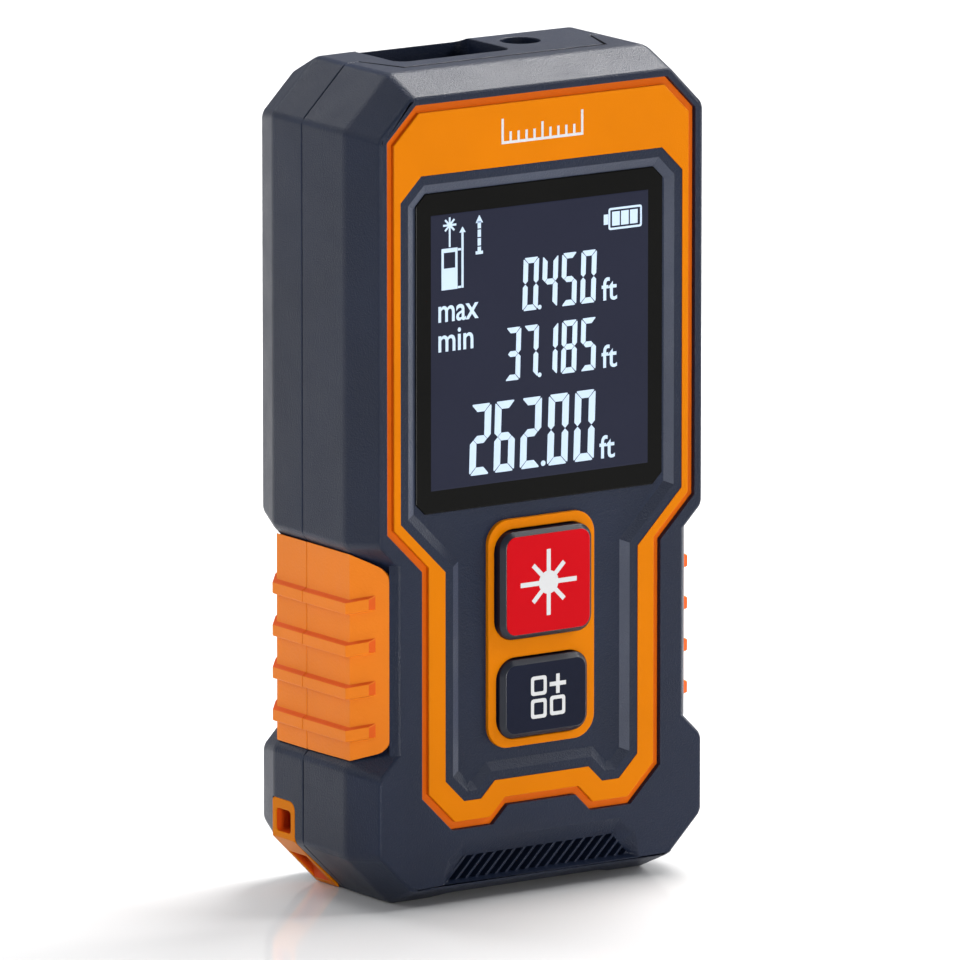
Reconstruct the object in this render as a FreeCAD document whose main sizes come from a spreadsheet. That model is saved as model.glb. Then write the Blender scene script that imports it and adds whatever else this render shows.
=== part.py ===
import FreeCAD, Part
import os
import re
import Sketcher
from FreeCAD import Placement, Rotation, Vector

# A pocket laser distance meter. +X is right, -Y is the front with the display, +Z is up.
# The origin is on the surface the meter stands on, under the middle of its box.
# Depths are measured back from the rim of the front face.

doc = FreeCAD.newDocument("LaserDistanceMeter")
dims = doc.addObject("Spreadsheet::Sheet", "Dims")

sizes = {
    # case outline
    "caseTall": 105.0,
    "caseHalf": 26.0,
    "caseDeep": 27.0,
    "topHalf": 19.4,
    "footHalf": 19.3,
    "waistHalf": 23.05,
    "waistTop": 43.2,
    "waistLow": 20.9,
    "rootTwo": 1.41421,
    # bevels round the front and the back face
    "bevelDeep": 5.5,
    "frontSide": 1.62,
    "frontTop": 2.3,
    "frontBase": 2.46,
    "backStart": 21.4,
    "backSide": 2.2,
    "backTop": 2.6,
    "backBase": 2.3,
    # walls and the seam between the shells
    "wall": 2.0,
    "frontWall": 2.4,
    "backWall": 1.8,
    "bevelWall": 3.4,
    "bevelWallEnd": 4.0,
    "seamDeep": 14.8,
    "tongueDeep": 8.1,
    "tongueHalf": 15.2,
    "tongueRoot": 17.6,
    "tongueLow": 97.0,
    "beyond": 4.0,
    # feet
    "footInner": 14.3,
    "archHalf": 11.5,
    "archTall": 0.78,
    # trim ring
    "trimHalf": 23.27,
    "trimTop": 101.7,
    "trimTopHalf": 18.95,
    "trimWaist": 18.07,
    "trimWaistTop": 43.0,
    "trimLow": 14.2,
    "trimFoot": 9.65,
    "trimNotchHalf": 5.16,
    "trimNotch": 11.92,
    "trimLedge": 1.0,
    "ledgeDeep": 0.6,
    "pocketDeep": 1.4,
    # face panel
    "panelHalf": 21.3,
    "panelTop": 92.8,
    "panelTopHalf": 18.2,
    "panelWaist": 14.6,
    "panelWaistTop": 42.6,
    "panelLow": 16.0,
    "panelFoot": 13.17,
    "panelNotchHalf": 7.1,
    "panelNotch": 15.25,
    "panelFront": 0.05,
    "panelRim": 1.15,
    "panelSlope": 1.24,
    "recessDeep": 0.65,
    # display
    "lensHalf": 18.64,
    "lensTop": 90.37,
    "lensLow": 50.05,
    "lensCorner": 1.4,
    "lensFront": 0.52,
    "viewHalf": 17.0,
    "viewTop": 88.3,
    "viewLow": 52.2,
    "lcdHalf": 17.6,
    "lcdTop": 89.2,
    "lcdLow": 51.4,
    "lcdFront": 2.45,
    "lcdBack": 4.2,
    "lightBack": 6.4,
    "flexHalf": 7.0,
    "flexThick": 0.3,
    # keys
    "frameHalf": 8.05,
    "frameTop": 48.1,
    "frameLow": 19.12,
    "frameRound": 3.0,
    "frameFront": 0.1,
    "keyRound": 2.6,
    "keyGap": 0.2,
    "measureHalf": 6.95,
    "measureTop": 46.65,
    "measureLow": 33.0,
    "measureShoulder": 1.36,
    "faceHalf": 6.3,
    "faceTop": 46.1,
    "faceLow": 33.65,
    "faceThick": 0.5,
    "buttonProud": 1.46,
    "functionHalf": 6.65,
    "functionTop": 30.3,
    "functionLow": 20.35,
    "functionProud": 0.9,
    "flangeFront": 2.6,
    "flangeBack": 3.3,
    "flangeLip": 0.8,
    "keyTravel": 0.6,
    "matFront": 4.4,
    "matBack": 5.2,
    "matHalf": 9.6,
    "matTop": 48.6,
    "matLow": 18.4,
    "switchHalf": 3.0,
    # board
    "boardFront": 7.0,
    "boardBack": 8.0,
    "boardHalf": 18.2,
    "boardTop": 87.5,
    "boardLow": 17.0,
    "chipHalf": 3.5,
    "chipBack": 9.0,
    "chipHigh": 55.6,
    "chipLow": 48.6,
    "chipAcross": 16.0,
    # side grips
    "gripHalf": 25.4,
    "gripFrontHalf": 22.4,
    "gripFrontDeep": 1.0,
    "gripInner": 20.0,
    "gripTop": 45.2,
    "gripLow": 18.5,
    "gripBack": 21.5,
    "gripBackHalf": 22.9,
    "ribProud": 0.68,
    "ribTall": 1.45,
    "ribSlope": 0.65,
    "ribPitch": 5.4,
    "ribFirst": 37.6,
    "ribEndHalf": 23.2,
    "ribEndDeep": 2.2,
    # strap anchor
    "anchorFront": 16.7,
    "anchorBack": 21.8,
    "anchorTop": 11.7,
    "strapFront": 17.8,
    "strapBack": 20.7,
    "strapTop": 10.3,
    "strapLow": 8.0,
    # sound slots
    "grilleFloor": 1.0,
    "grilleTop": 5.95,
    "grilleLow": 3.05,
    "grilleTopHalf": 11.3,
    "grilleLowHalf": 13.9,
    "slotWide": 0.72,
    "slotPitch": 1.51,
    "slotLong": 8.0,
    "slotTurn": 45.0,
    "buzzerRound": 4.0,
    "buzzerHigh": 8.1,
    "buzzerFront": 3.0,
    "buzzerBack": 6.0,
    # optics at the top
    "bayLeft": 13.6,
    "bayRight": 3.5,
    "bayFront": 11.5,
    "bayBack": 22.3,
    "bayRound": 1.6,
    "windowTop": 102.2,
    "windowThick": 0.8,
    "windowLip": 0.7,
    "laserAcross": 8.0,
    "laserDeep": 16.4,
    "laserHole": 2.55,
    "laserWindowRound": 3.3,
    "moduleRound": 3.0,
    "moduleTop": 100.5,
    "moduleLow": 84.0,
    "collimatorRound": 2.2,
    "collimatorThick": 1.2,
    "receiverAcross": 5.1,
    "receiverDeep": 17.0,
    "receiverRound": 5.0,
    "receiverTop": 100.5,
    "receiverThick": 3.0,
    "receiverEnd": 1.8,
    "carrierLeft": 13.4,
    "carrierRight": 12.4,
    "carrierFront": 9.6,
    "carrierBack": 23.2,
    "carrierTop": 101.0,
    "carrierLow": 72.0,
    "detectorLow": 70.8,
    "shieldLow": 66.0,
    "boreGap": 0.06,
    # power
    "cellRound": 5.2,
    "cellAcross": 5.7,
    "cellDeep": 17.2,
    "cellLow": 14.4,
    "cellTop": 58.0,
    "nubRound": 1.9,
    "nubTall": 0.9,
    "trayHalf": 12.3,
    "trayFront": 10.2,
    "trayLow": 11.4,
    "trayTop": 61.4,
    "trayBack": 21.6,
    "trayWall": 1.0,
    "contactThick": 0.4,
    "springRound": 3.4,
    "springWire": 0.4,
    "springStep": 0.55,
    "doorHalf": 12.6,
    "doorLow": 10.6,
    "doorTop": 62.6,
    "doorRound": 2.0,
    "doorGap": 0.25,
    "doorThick": 1.5,
    "doorLift": 14.0,
    "thumbHalf": 5.0,
    "thumbTall": 1.0,
    "thumbHigh": 57.0,
    "thumbPitch": 2.0,
    "thumbDeep": 0.5,
    "padHalf": 9.5,
    "padLow": 22.0,
    "padTop": 50.0,
    "padThick": 1.6,
    # gasket
    "sealInner": 2.9,
    "sealOuter": 2.1,
    "sealHalfDeep": 0.6,
    "sealTop": 94.0,
    # fasteners
    "screwAcross": 17.2,
    "screwLow": 13.0,
    "screwHigh": 92.3,
    "screwShank": 1.0,
    "screwHead": 1.9,
    "headTall": 1.5,
    "screwTip": 6.5,
    "headFront": 21.6,
    "bossRound": 2.7,
    "headHole": 2.2,
    "boardScrewAcross": 14.6,
    "boardScrewLow": 23.0,
    "boardScrewHigh": 44.5,
    "boardShank": 0.8,
    "boardHead": 1.5,
    "boardHeadTall": 0.9,
    "boardTip": 4.0,
    "boardBoss": 2.0,
    # label
    "labelHalf": 13.0,
    "labelLow": 68.0,
    "labelTop": 88.0,
    "labelThick": 0.25,
    "labelRound": 1.5,
}
for row, (alias, value) in enumerate(sizes.items(), start=1):
    dims.set(f"A{row}", alias)
    dims.set(f"B{row}", str(value))
    dims.setAlias(f"B{row}", alias)
doc.recompute()

word = re.compile(r"\b[a-z][A-Za-z]+\b")


def linked(rule):
    """The rule with each size's name pointing at the sheet."""
    return word.sub(lambda hit: "Dims." + hit.group(0), str(rule))


def measure(rule):
    """The rule worked out now, as a number."""
    return float(dims.evalExpression(linked(rule)))


def bind(thing, **rules):
    """Tie properties of an object to rules written with the sheet's names."""
    for name, rule in rules.items():
        thing.setExpression(name.replace("_", "."), linked(rule))


def place(thing, x="0", y="0", z="0", turn=None):
    """Give an object its turn, and tie its position to the sheet."""
    thing.Placement = Placement(Vector(), turn or Rotation())
    for letter, rule in (("x", x), ("y", y), ("z", z)):
        thing.setExpression(f"Placement.Base.{letter}", linked(rule))


def back(depth):
    """The Y of a point that lies this deep behind the rim of the front face."""
    return f"(buttonProud - caseDeep) / 2 + ({depth})"


upright = Rotation(Vector(1, 0, 0), 90)
facings = {
    "y": (upright, Vector(0, 1, 0)),
    "z": (Rotation(), Vector(0, 0, 1)),
}


def outline(name, points, at, axis="y"):
    """A closed sketch across an axis, with every corner tied to the sheet."""
    sketch = doc.addObject("Sketcher::SketchObject", name)
    place(sketch, **{axis: at}, turn=facings[axis][0])
    corners = [Vector(measure(x), measure(up), 0) for x, up in points]
    count = len(corners)
    for index in range(count):
        sketch.addGeometry(Part.LineSegment(corners[index], corners[(index + 1) % count]))
    for index in range(count):
        sketch.addConstraint(Sketcher.Constraint("Coincident", index, 2, (index + 1) % count, 1))
    for index, rules in enumerate(points):
        for kind, rule, now in zip(("DistanceX", "DistanceY"), rules, corners[index]):
            held = sketch.addConstraint(Sketcher.Constraint(kind, -1, 1, index, 1, now))
            sketch.setExpression(f"Constraints[{held}]", linked(rule))
    return sketch


def both_sides(half):
    """A right-hand half outline, listed from the top down, closed by its mirror image."""
    return list(half) + [(f"-({x})", z) for x, z in reversed(half)]


def prism(name, points, near, far, axis="y"):
    """A straight-sided solid between two depths, or between two heights."""
    start, end = (back(near), back(far)) if axis == "y" else (near, far)
    solid = doc.addObject("Part::Extrusion", name)
    solid.Base = outline(name + "_outline", points, start, axis)
    solid.DirMode = "Custom"
    solid.Dir = facings[axis][1]
    solid.Solid = True
    bind(solid, LengthFwd=f"({end}) - ({start})")
    return solid


def tapered(name, sections, axis="y"):
    """A flat-sided solid through outlines that have the same number of corners."""
    solid = doc.addObject("Part::Loft", name)
    solid.Sections = [
        outline(f"{name}_outline_{index}", points, back(at) if axis == "y" else at, axis)
        for index, (points, at) in enumerate(sections)
    ]
    solid.Solid = True
    solid.Ruled = True
    return solid


def block(name, left, right, near, far, low, high):
    """A box between two sides, two depths and two heights."""
    solid = doc.addObject("Part::Box", name)
    bind(solid, Length=f"({right}) - ({left})", Width=f"({far}) - ({near})", Height=f"({high}) - ({low})")
    place(solid, x=left, y=back(near), z=low)
    return solid


def slab(name, half, near, far, low, high):
    """A box centred on the middle of the case."""
    return block(name, f"-({half})", half, near, far, low, high)


def rod(name, radius, x, depth, z, length, axis="y"):
    """A round bar that starts at a point and runs back, or up."""
    solid = doc.addObject("Part::Cylinder", name)
    bind(solid, Radius=radius, Height=length)
    turn = Rotation(Vector(1, 0, 0), -90) if axis == "y" else None
    place(solid, x=x, y=back(depth), z=z, turn=turn)
    return solid


def joined(name, *pieces):
    """The pieces as one."""
    solid = doc.addObject("Part::MultiFuse", name)
    solid.Shapes = list(pieces)
    return solid


def cut(name, stock, *tools):
    """What is left of the stock without the tools."""
    solid = doc.addObject("Part::Cut", name)
    solid.Base = stock
    solid.Tool = tools[0] if len(tools) == 1 else joined(name + "_tools", *tools)
    return solid


def shared(name, one, other):
    """What two solids have in common."""
    solid = doc.addObject("Part::Common", name)
    solid.Base = one
    solid.Tool = other
    return solid


def rounded(name, stock, radius, direction=Vector(0, 1, 0)):
    """The stock with its straight edges along one direction rounded."""
    doc.recompute()
    edges = []
    for index, edge in enumerate(stock.Shape.Edges, start=1):
        if edge.Curve.TypeId != "Part::GeomLine":
            continue
        if abs(edge.Curve.Direction.dot(direction)) > 0.999:
            edges.append((index, measure(radius), measure(radius)))
    solid = doc.addObject("Part::Fillet", name)
    solid.Base = stock
    solid.Edges = edges
    return solid


parts = []


def part(label, solid):
    """Name a finished piece of the meter and remember it for the hand-over."""
    solid.Label = label
    parts.append(solid)
    return solid


# ---- outlines that several pieces share


def case_outline(side, top, base):
    """The case seen from the front, drawn in by a distance on each side."""
    drop = f"(rootTwo - 1) * ({side})"
    return both_sides([
        (f"topHalf + ({top}) - rootTwo * ({side})", f"caseTall - ({top})"),
        (f"caseHalf - ({side})", f"caseTall + topHalf - caseHalf - {drop}"),
        (f"caseHalf - ({side})", f"waistTop + caseHalf - waistHalf + {drop}"),
        (f"waistHalf - ({side})", f"waistTop + {drop}"),
        (f"waistHalf - ({side})", f"waistLow - {drop}"),
        (f"caseHalf - ({side})", f"waistLow - caseHalf + waistHalf - {drop}"),
        (f"caseHalf - ({side})", f"caseHalf - footHalf + {drop}"),
        (f"footHalf + ({base}) - rootTwo * ({side})", f"{base}"),
    ])


def mask_outline(kind, inset):
    """The outline of the trim or of the face panel, drawn in evenly by a distance."""
    drop = f"(rootTwo - 1) * ({inset})"
    return both_sides([
        (f"{kind}TopHalf - {drop}", f"{kind}Top - ({inset})"),
        (f"{kind}Half - ({inset})", f"{kind}Top + {kind}TopHalf - {kind}Half - {drop}"),
        (f"{kind}Half - ({inset})", f"{kind}WaistTop + {kind}Half - {kind}Waist + {drop}"),
        (f"{kind}Waist - ({inset})", f"{kind}WaistTop + {drop}"),
        (f"{kind}Waist - ({inset})", f"{kind}Low + {drop}"),
        (f"{kind}Waist - {kind}Low + {kind}Foot - {drop}", f"{kind}Foot + ({inset})"),
        (f"{kind}NotchHalf + {kind}Notch - {kind}Foot + {drop}", f"{kind}Foot + ({inset})"),
        (f"{kind}NotchHalf + {drop}", f"{kind}Notch + ({inset})"),
    ])


def cut_corner_outline(half, low, top, corner):
    """An upright rectangle with its four corners cut off."""
    return both_sides([
        (f"{half} - {corner}", top),
        (half, f"{top} - {corner}"),
        (half, f"{low} + {corner}"),
        (f"{half} - {corner}", low),
    ])


def rounded_plate(name, half, low, top, near, far, radius):
    """A flat plate with rounded corners."""
    return rounded(name, slab(name + "_block", half, near, far, low, top), radius)


# ---- the case before it is split


def whole_case(name):
    """The outside of the case, bevelled at the front and the back."""
    return tapered(name, [
        (case_outline("frontSide", "frontTop", "frontBase"), "0"),
        (case_outline("0", "0", "0"), "bevelDeep"),
        (case_outline("0", "0", "0"), "backStart"),
        (case_outline("backSide", "backTop", "backBase"), "caseDeep"),
    ])


def inside_case(name):
    """The hollow of the case, one wall in from the outside."""
    return tapered(name, [
        (case_outline("bevelWall", "bevelWallEnd", "bevelWallEnd"), "frontWall"),
        (case_outline("wall", "wall", "wall"), "bevelDeep + wall / 4"),
        (case_outline("wall", "wall", "wall"), "backStart - wall / 4"),
        (case_outline("bevelWall", "bevelWallEnd", "bevelWallEnd"), "caseDeep - backWall"),
    ])


def rear_region(name):
    """Everything behind the seam, with the tongue that comes forward over the optics."""
    rear = slab(name + "_rear", "(caseHalf + beyond)", "seamDeep", "caseDeep + beyond",
                "-beyond", "caseTall + beyond")
    tongue = prism(name + "_tongue", [
        (x, back(depth)) for x, depth in (
            ("-tongueHalf", "tongueDeep"),
            ("tongueHalf", "tongueDeep"),
            ("tongueRoot", "seamDeep + wall / 4"),
            ("-tongueRoot", "seamDeep + wall / 4"),
        )
    ], "tongueLow", "caseTall + beyond", axis="z")
    return joined(name, rear, tongue)


def foot_arch(name):
    """The shallow gap under the middle of the case, between the feet."""
    return prism(name, both_sides([
        ("archHalf", "archTall"),
        ("footInner", "0"),
        ("footInner", "-beyond"),
    ]), "-beyond", "caseDeep + beyond")


def screw_spots():
    """The four corners where a screw ties the shells together."""
    return [(x, z) for x in ("-screwAcross", "screwAcross") for z in ("screwLow", "screwHigh")]


def board_spots():
    """The four places where the board is screwed to the front shell."""
    return [(x, z) for x in ("-boardScrewAcross", "boardScrewAcross")
            for z in ("boardScrewLow", "boardScrewHigh")]


case = whole_case("case")
hollow = inside_case("hollow")
shell = cut("shell", case, joined("shell_removed", hollow, foot_arch("arch")))


# ---- strap anchor, a hollow corner block with a bar for a strap


def anchor_block(name):
    """The corner of the case that the anchor fills."""
    return prism(name, [
        ("-caseHalf - beyond", "anchorTop"),
        ("-caseHalf - beyond", "-beyond"),
        ("-footHalf", "-beyond"),
        ("-footHalf", "wall / 2"),
        ("-footHalf - wall / 2", "wall * 2.5"),
        ("-footHalf - wall", "anchorTop"),
    ], "anchorFront", "anchorBack")


def strap_passage(name):
    """The way a strap takes, in at the side and out at the corner, behind the bar."""
    bar = "caseHalf - wall"
    return prism(name, [
        ("-caseHalf - beyond", "strapTop"),
        ("-caseHalf - beyond", "strapLow"),
        (f"-({bar})", "strapLow"),
        (f"-({bar} - wall / 2)", "strapLow - wall * 1.4"),
        (f"-({bar} + wall * 0.6)", "wall * 1.4"),
        ("-footHalf - wall * 0.2", "-wall * 0.2"),
        ("-footHalf - wall * 0.7", "wall"),
        ("-footHalf - wall * 1.2", "wall * 2.2"),
        ("-footHalf - wall * 1.6", "strapTop"),
    ], "strapFront", "strapBack")


anchor_stock = shared("anchor_stock", case, anchor_block("anchor_block"))
anchor = part("lanyard_anchor", cut("anchor", anchor_stock, strap_passage("strap_passage")))


# ---- front shell


def sound_slots(name):
    """A row of slanted slots, clipped to the floor of their recess."""
    row = []
    reach = 9
    for step in range(-reach, reach + 1):
        slot = doc.addObject("Part::Box", f"{name}_{step + reach}")
        bind(slot, Length="slotWide", Width="frontWall + wall", Height="slotLong")
        place(slot, x=f"{step} * slotPitch - slotLong / 2 / rootTwo", y=back("0"),
              z="(grilleLow + grilleTop) / 2 - slotLong / 2 / rootTwo",
              turn=Rotation(Vector(0, 1, 0), measure("slotTurn")))
        row.append(slot)
    floor = prism(name + "_floor", both_sides([
        ("grilleTopHalf", "grilleTop"),
        ("grilleLowHalf", "grilleLow"),
    ]), "0", "frontWall + wall")
    return shared(name, joined(name + "_row", *row), floor)


def grille_recess(name):
    """The shallow sloped recess around the slots."""
    return tapered(name, [
        (both_sides([
            ("grilleTopHalf + 0.7", "grilleTop + 2.2"),
            ("grilleTopHalf + 2.9", "grilleTop + 0.2"),
            ("grilleLowHalf + 1.1", "grilleLow - 0.3"),
        ]), "-0.01"),
        (both_sides([
            ("grilleTopHalf", "grilleTop"),
            ("grilleTopHalf + 1.3", "(grilleTop + grilleLow) / 2"),
            ("grilleLowHalf", "grilleLow"),
        ]), "grilleFloor"),
    ])


def grip_lip(name, hand):
    """A small bevel along the waist that covers the front edge of a grip."""
    edge = "waistHalf - frontSide"
    return prism(name, [
        (f"{hand} * ({x})", back(depth)) for x, depth in (
            (f"{edge} - gripFrontDeep / 2", "0"),
            (edge, "0"),
            ("gripFrontHalf", "gripFrontDeep"),
            (f"{edge} - gripFrontDeep / 2", "gripFrontDeep"),
        )
    ], "waistLow - gripFrontDeep", "waistTop + gripFrontDeep", axis="z")


front_stock = cut("front_stock", shell, rear_region("rear_room"))
grip_lips = [grip_lip(f"grip_lip_{step}", hand) for step, hand in enumerate((-1, 1))]
key_holes = [
    rounded_plate("measure_hole", "measureHalf + keyGap", "measureLow - keyGap", "measureTop + keyGap",
                  "0", "frontWall + wall", "keyRound + keyGap"),
    rounded_plate("function_hole", "functionHalf + keyGap", "functionLow - keyGap",
                  "functionTop + keyGap", "0", "frontWall + wall", "keyRound + keyGap"),
]
front_posts = [
    rod(f"front_post_{index}", "bossRound", x, "frontWall - 0.2", z, "seamDeep - frontWall")
    for index, (x, z) in enumerate(screw_spots())
] + [
    rod(f"board_post_{index}", "boardBoss", x, "frontWall - 0.2", z, "boardFront - frontWall + 0.2")
    for index, (x, z) in enumerate(board_spots())
]
front_drilling = [
    rod(f"front_pilot_{index}", "screwShank", x, "screwTip - 0.5", z, "seamDeep")
    for index, (x, z) in enumerate(screw_spots())
] + [
    rod(f"board_pilot_{index}", "boardShank", x, "boardTip - 0.3", z, "boardFront")
    for index, (x, z) in enumerate(board_spots())
]
front_openings = [
    prism("trim_pocket", mask_outline("trim", "0"), "-1", "pocketDeep"),
    slab("display_view", "viewHalf", "0", "frontWall + wall", "viewLow", "viewTop"),
    grille_recess("grille_recess"),
    sound_slots("sound_slots"),
    *key_holes,
    *front_drilling,
]
part("front_shell", cut("front_shell_cut", joined("front_full", front_stock, *grip_lips, *front_posts), *front_openings))


# ---- rear shell


rear_stock = shared("rear_stock", shell, rear_region("rear_keep"))
rear_posts = [
    rod(f"rear_post_{index}", "bossRound", x, "seamDeep", z, "caseDeep - backWall - seamDeep + 0.2")
    for index, (x, z) in enumerate(screw_spots())
]
rear_drilling = [
    rod(f"screw_way_{index}", "screwShank + keyGap", x, "seamDeep - 1", z, "caseDeep")
    for index, (x, z) in enumerate(screw_spots())
] + [
    rod(f"head_way_{index}", "headHole", x, "headFront", z, "caseDeep")
    for index, (x, z) in enumerate(screw_spots())
]
receiver_bay = rounded("receiver_bay", block("bay_block", "-bayLeft", "bayRight", "bayFront", "bayBack",
                                             "caseTall - wall - beyond", "caseTall + beyond"),
                       "bayRound", Vector(0, 0, 1))
laser_way = rod("laser_way", "laserHole", "laserAcross", "laserDeep", "caseTall - wall - beyond",
                "wall + 2 * beyond", axis="z")
doorway = rounded_plate("doorway", "doorHalf + doorGap", "doorLow - doorGap", "doorTop + doorGap",
                        "caseDeep - backWall - wall", "caseDeep + beyond", "doorRound")
label_seat = rounded_plate("label_seat", "labelHalf", "labelLow", "labelTop",
                           "caseDeep - labelThick", "caseDeep + beyond", "labelRound")
part("rear_shell", cut(
    "rear_shell_cut", joined("rear_full", rear_stock, *rear_posts),
    doorway, receiver_bay, laser_way, label_seat, *rear_drilling,
    anchor_block("anchor_room"),
))


# ---- trim, face panel and display


trim_plate = prism("trim_plate", mask_outline("trim", "trimLedge"), "0", "ledgeDeep")
trim_ledge = prism("trim_ledge", mask_outline("trim", "0"), "ledgeDeep", "pocketDeep")
trim_room = prism("trim_room", mask_outline("panel", "0"), "-1", "pocketDeep + 1")
part("bezel_trim", cut("trim", joined("trim_full", trim_plate, trim_ledge), trim_room))

panel_plate = prism("panel_plate", mask_outline("panel", "0"), "panelFront", "pocketDeep")
panel_recess = tapered("panel_recess", [
    (mask_outline("panel", "panelRim - 0.01"), "panelFront - 0.005"),
    (mask_outline("panel", "panelRim + panelSlope"), "recessDeep"),
])
lens_outline = cut_corner_outline("lensHalf", "lensLow", "lensTop", "lensCorner")
lens_room = prism("lens_room", lens_outline, "-1", "pocketDeep + 1")
frame_room = rounded_plate("frame_room", "frameHalf", "frameLow", "frameTop", "-1", "pocketDeep + 1",
                           "frameRound")
part("face_panel", cut("panel", panel_plate, panel_recess, lens_room, frame_room))
part("display_window", prism("lens", lens_outline, "lensFront", "pocketDeep"))
part("lcd_panel", slab("lcd", "lcdHalf", "lcdFront", "lcdBack", "lcdLow", "lcdTop"))
part("lcd_backlight", slab("light", "lcdHalf", "lcdBack", "lightBack", "lcdLow", "lcdTop"))
part("lcd_flex", slab("flex", "flexHalf", "lcdFront + 0.3", "boardFront", "lcdLow - flexThick", "lcdLow"))


# ---- keys


def raised_key(name, half, low, top, front, round_by):
    """A key whose sides slope in near its face, with a flange that stops it falling out."""
    body = rounded_plate(name + "_body", half, low, top, f"-({front}) + keyGap * 3",
                         "flangeBack", round_by)
    ease = "keyGap * 3"
    crown = tapered(name + "_crown", [
        (cut_corner_outline(f"({half} - {ease})", f"({low} + {ease})", f"({top} - {ease})", "frameRound / 2"),
         f"-({front})"),
        (cut_corner_outline(half, low, top, "frameRound / 2"), f"-({front}) + {ease}"),
    ])
    flange = rounded_plate(name + "_flange", f"({half} + flangeLip)", f"{low} - flangeLip / 2",
                           f"{top} + flangeLip / 2", "flangeFront", "flangeBack", round_by)
    return joined(name, body, shared(name + "_trimmed", crown, rounded_plate(
        name + "_limit", half, low, top, f"-({front}) - 1", "flangeBack", round_by)), flange)


frame_plate = rounded_plate("frame_plate", "frameHalf", "frameLow", "frameTop", "frameFront",
                            "pocketDeep", "frameRound")
part("keypad_frame", cut("frame", frame_plate, *key_holes))
part("measure_button", raised_key("measure_key", "measureHalf", "measureLow", "measureTop",
                                  "buttonProud - 0.1", "keyRound"))
part("function_button", raised_key("function_key", "functionHalf", "functionLow", "functionTop",
                                   "functionProud", "keyRound"))
face_seat = rounded_plate("face_plate", "faceHalf", "faceLow", "faceTop", "-buttonProud",
                          "-buttonProud + 0.1", "keyRound - keyGap * 3")
part("measure_button_face", face_seat)
part("keypad_mat", rounded_plate("mat", "matHalf", "matLow", "matTop", "matFront", "matBack", "keyRound"))


def key_switch(name, low, top):
    """A square push switch under the middle of a key."""
    middle = f"({low} + {top}) / 2"
    return slab(name, "switchHalf", "matBack", "boardFront", f"{middle} - switchHalf",
                f"{middle} + switchHalf")


part("key_switches", joined(
    "switches", key_switch("upper_switch", "measureLow", "measureTop"),
    key_switch("lower_switch", "functionLow", "functionTop")))


# ---- side grips


def grip_outline(front_half, half, near, middle, far_points):
    """A grip seen from above, on the right-hand side."""
    return [("gripInner", back(near)), (front_half, back(near)), (half, back(middle)), *far_points,
            ("gripInner", far_points[-1][1])]


def grip_stock(name, front):
    """A right-hand grip for one shell, ribs included, before the case is taken out of it."""
    if front:
        pad = grip_outline("gripFrontHalf", "gripHalf", "gripFrontDeep", "bevelDeep",
                           [("gripHalf", back("seamDeep"))])
        rib = grip_outline("ribEndHalf", "gripHalf + ribProud", "ribEndDeep", "bevelDeep - 0.2",
                           [("gripHalf + ribProud", back("seamDeep"))])
        foot = grip_outline("ribEndHalf", "gripHalf", "ribEndDeep", "bevelDeep",
                            [("gripHalf", back("seamDeep"))])
    else:
        end = ("gripBackHalf", back("gripBack + gripHalf - gripBackHalf"))
        pad = grip_outline("gripHalf", "gripHalf", "seamDeep", "seamDeep + wall",
                           [("gripHalf", back("gripBack")), end])
        rib = grip_outline("gripHalf + ribProud", "gripHalf + ribProud", "seamDeep", "seamDeep + wall",
                           [("gripHalf + ribProud", back("gripBack - 0.2"))])
        foot = grip_outline("gripHalf", "gripHalf", "seamDeep", "seamDeep + wall",
                            [("gripHalf", back("gripBack"))])
    ribs = []
    for step in range(4):
        low = f"(ribFirst - {step} * ribPitch)"
        ribs.append(tapered(f"{name}_rib_{step}", [
            (rib, low),
            (rib, f"{low} + ribTall"),
            (foot, f"{low} + ribTall + ribSlope"),
        ], axis="z"))
    return joined(name, prism(name + "_pad", pad, "gripLow", "gripTop", axis="z"), *ribs)


def grip(label, front, left):
    """A grip that fills the waist of the case on one side of one shell."""
    right = cut(label + "_right", grip_stock(label + "_stock", front), case)
    if not left:
        return part(label, right)
    mirrored = doc.addObject("Part::Mirroring", label + "_left")
    mirrored.Source = right
    mirrored.Normal = Vector(1, 0, 0)
    return part(label, mirrored)


for end, is_front in (("front", True), ("rear", False)):
    for hand, is_left in (("left", True), ("right", False)):
        grip(f"grip_{end}_{hand}", is_front, is_left)


# ---- board, chip and sounder


board_blank = slab("board_blank", "boardHalf", "boardFront", "boardBack", "boardLow", "boardTop")
board_holes = [
    rod(f"board_hole_{index}", "boardShank + keyGap", x, "boardFront - 1", z, "beyond")
    for index, (x, z) in enumerate(board_spots())
]
part("main_board", cut("board", board_blank, *board_holes))
part("processor", block("chip", "-chipHalf", "chipHalf", "boardBack", "chipBack", "trayTop + 2",
                        "trayTop + 2 + chipHalf * 2"))
part("buzzer", rod("sounder", "buzzerRound", "0", "buzzerFront", "buzzerHigh",
                   "buzzerBack - buzzerFront"))


# ---- optics


carrier_block = block("carrier_block", "-carrierLeft", "carrierRight", "carrierFront", "carrierBack",
                      "carrierLow", "carrierTop")
module_bore = rod("module_bore", "moduleRound + boreGap", "laserAcross", "laserDeep", "moduleLow",
                  "beyond * 8", axis="z")
receiver_bore = rod("receiver_bore", "receiverRound + boreGap", "-receiverAcross", "receiverDeep",
                    "receiverTop - receiverThick", "beyond * 4", axis="z")
receiver_cone = doc.addObject("Part::Cone", "receiver_cone")
bind(receiver_cone, Radius1="receiverEnd", Radius2="receiverRound - 0.5",
     Height="receiverTop - receiverThick - carrierLow")
place(receiver_cone, x="-receiverAcross", y=back("receiverDeep"), z="carrierLow")
part("optics_carrier", cut("carrier", carrier_block, module_bore, receiver_bore, receiver_cone))

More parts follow.
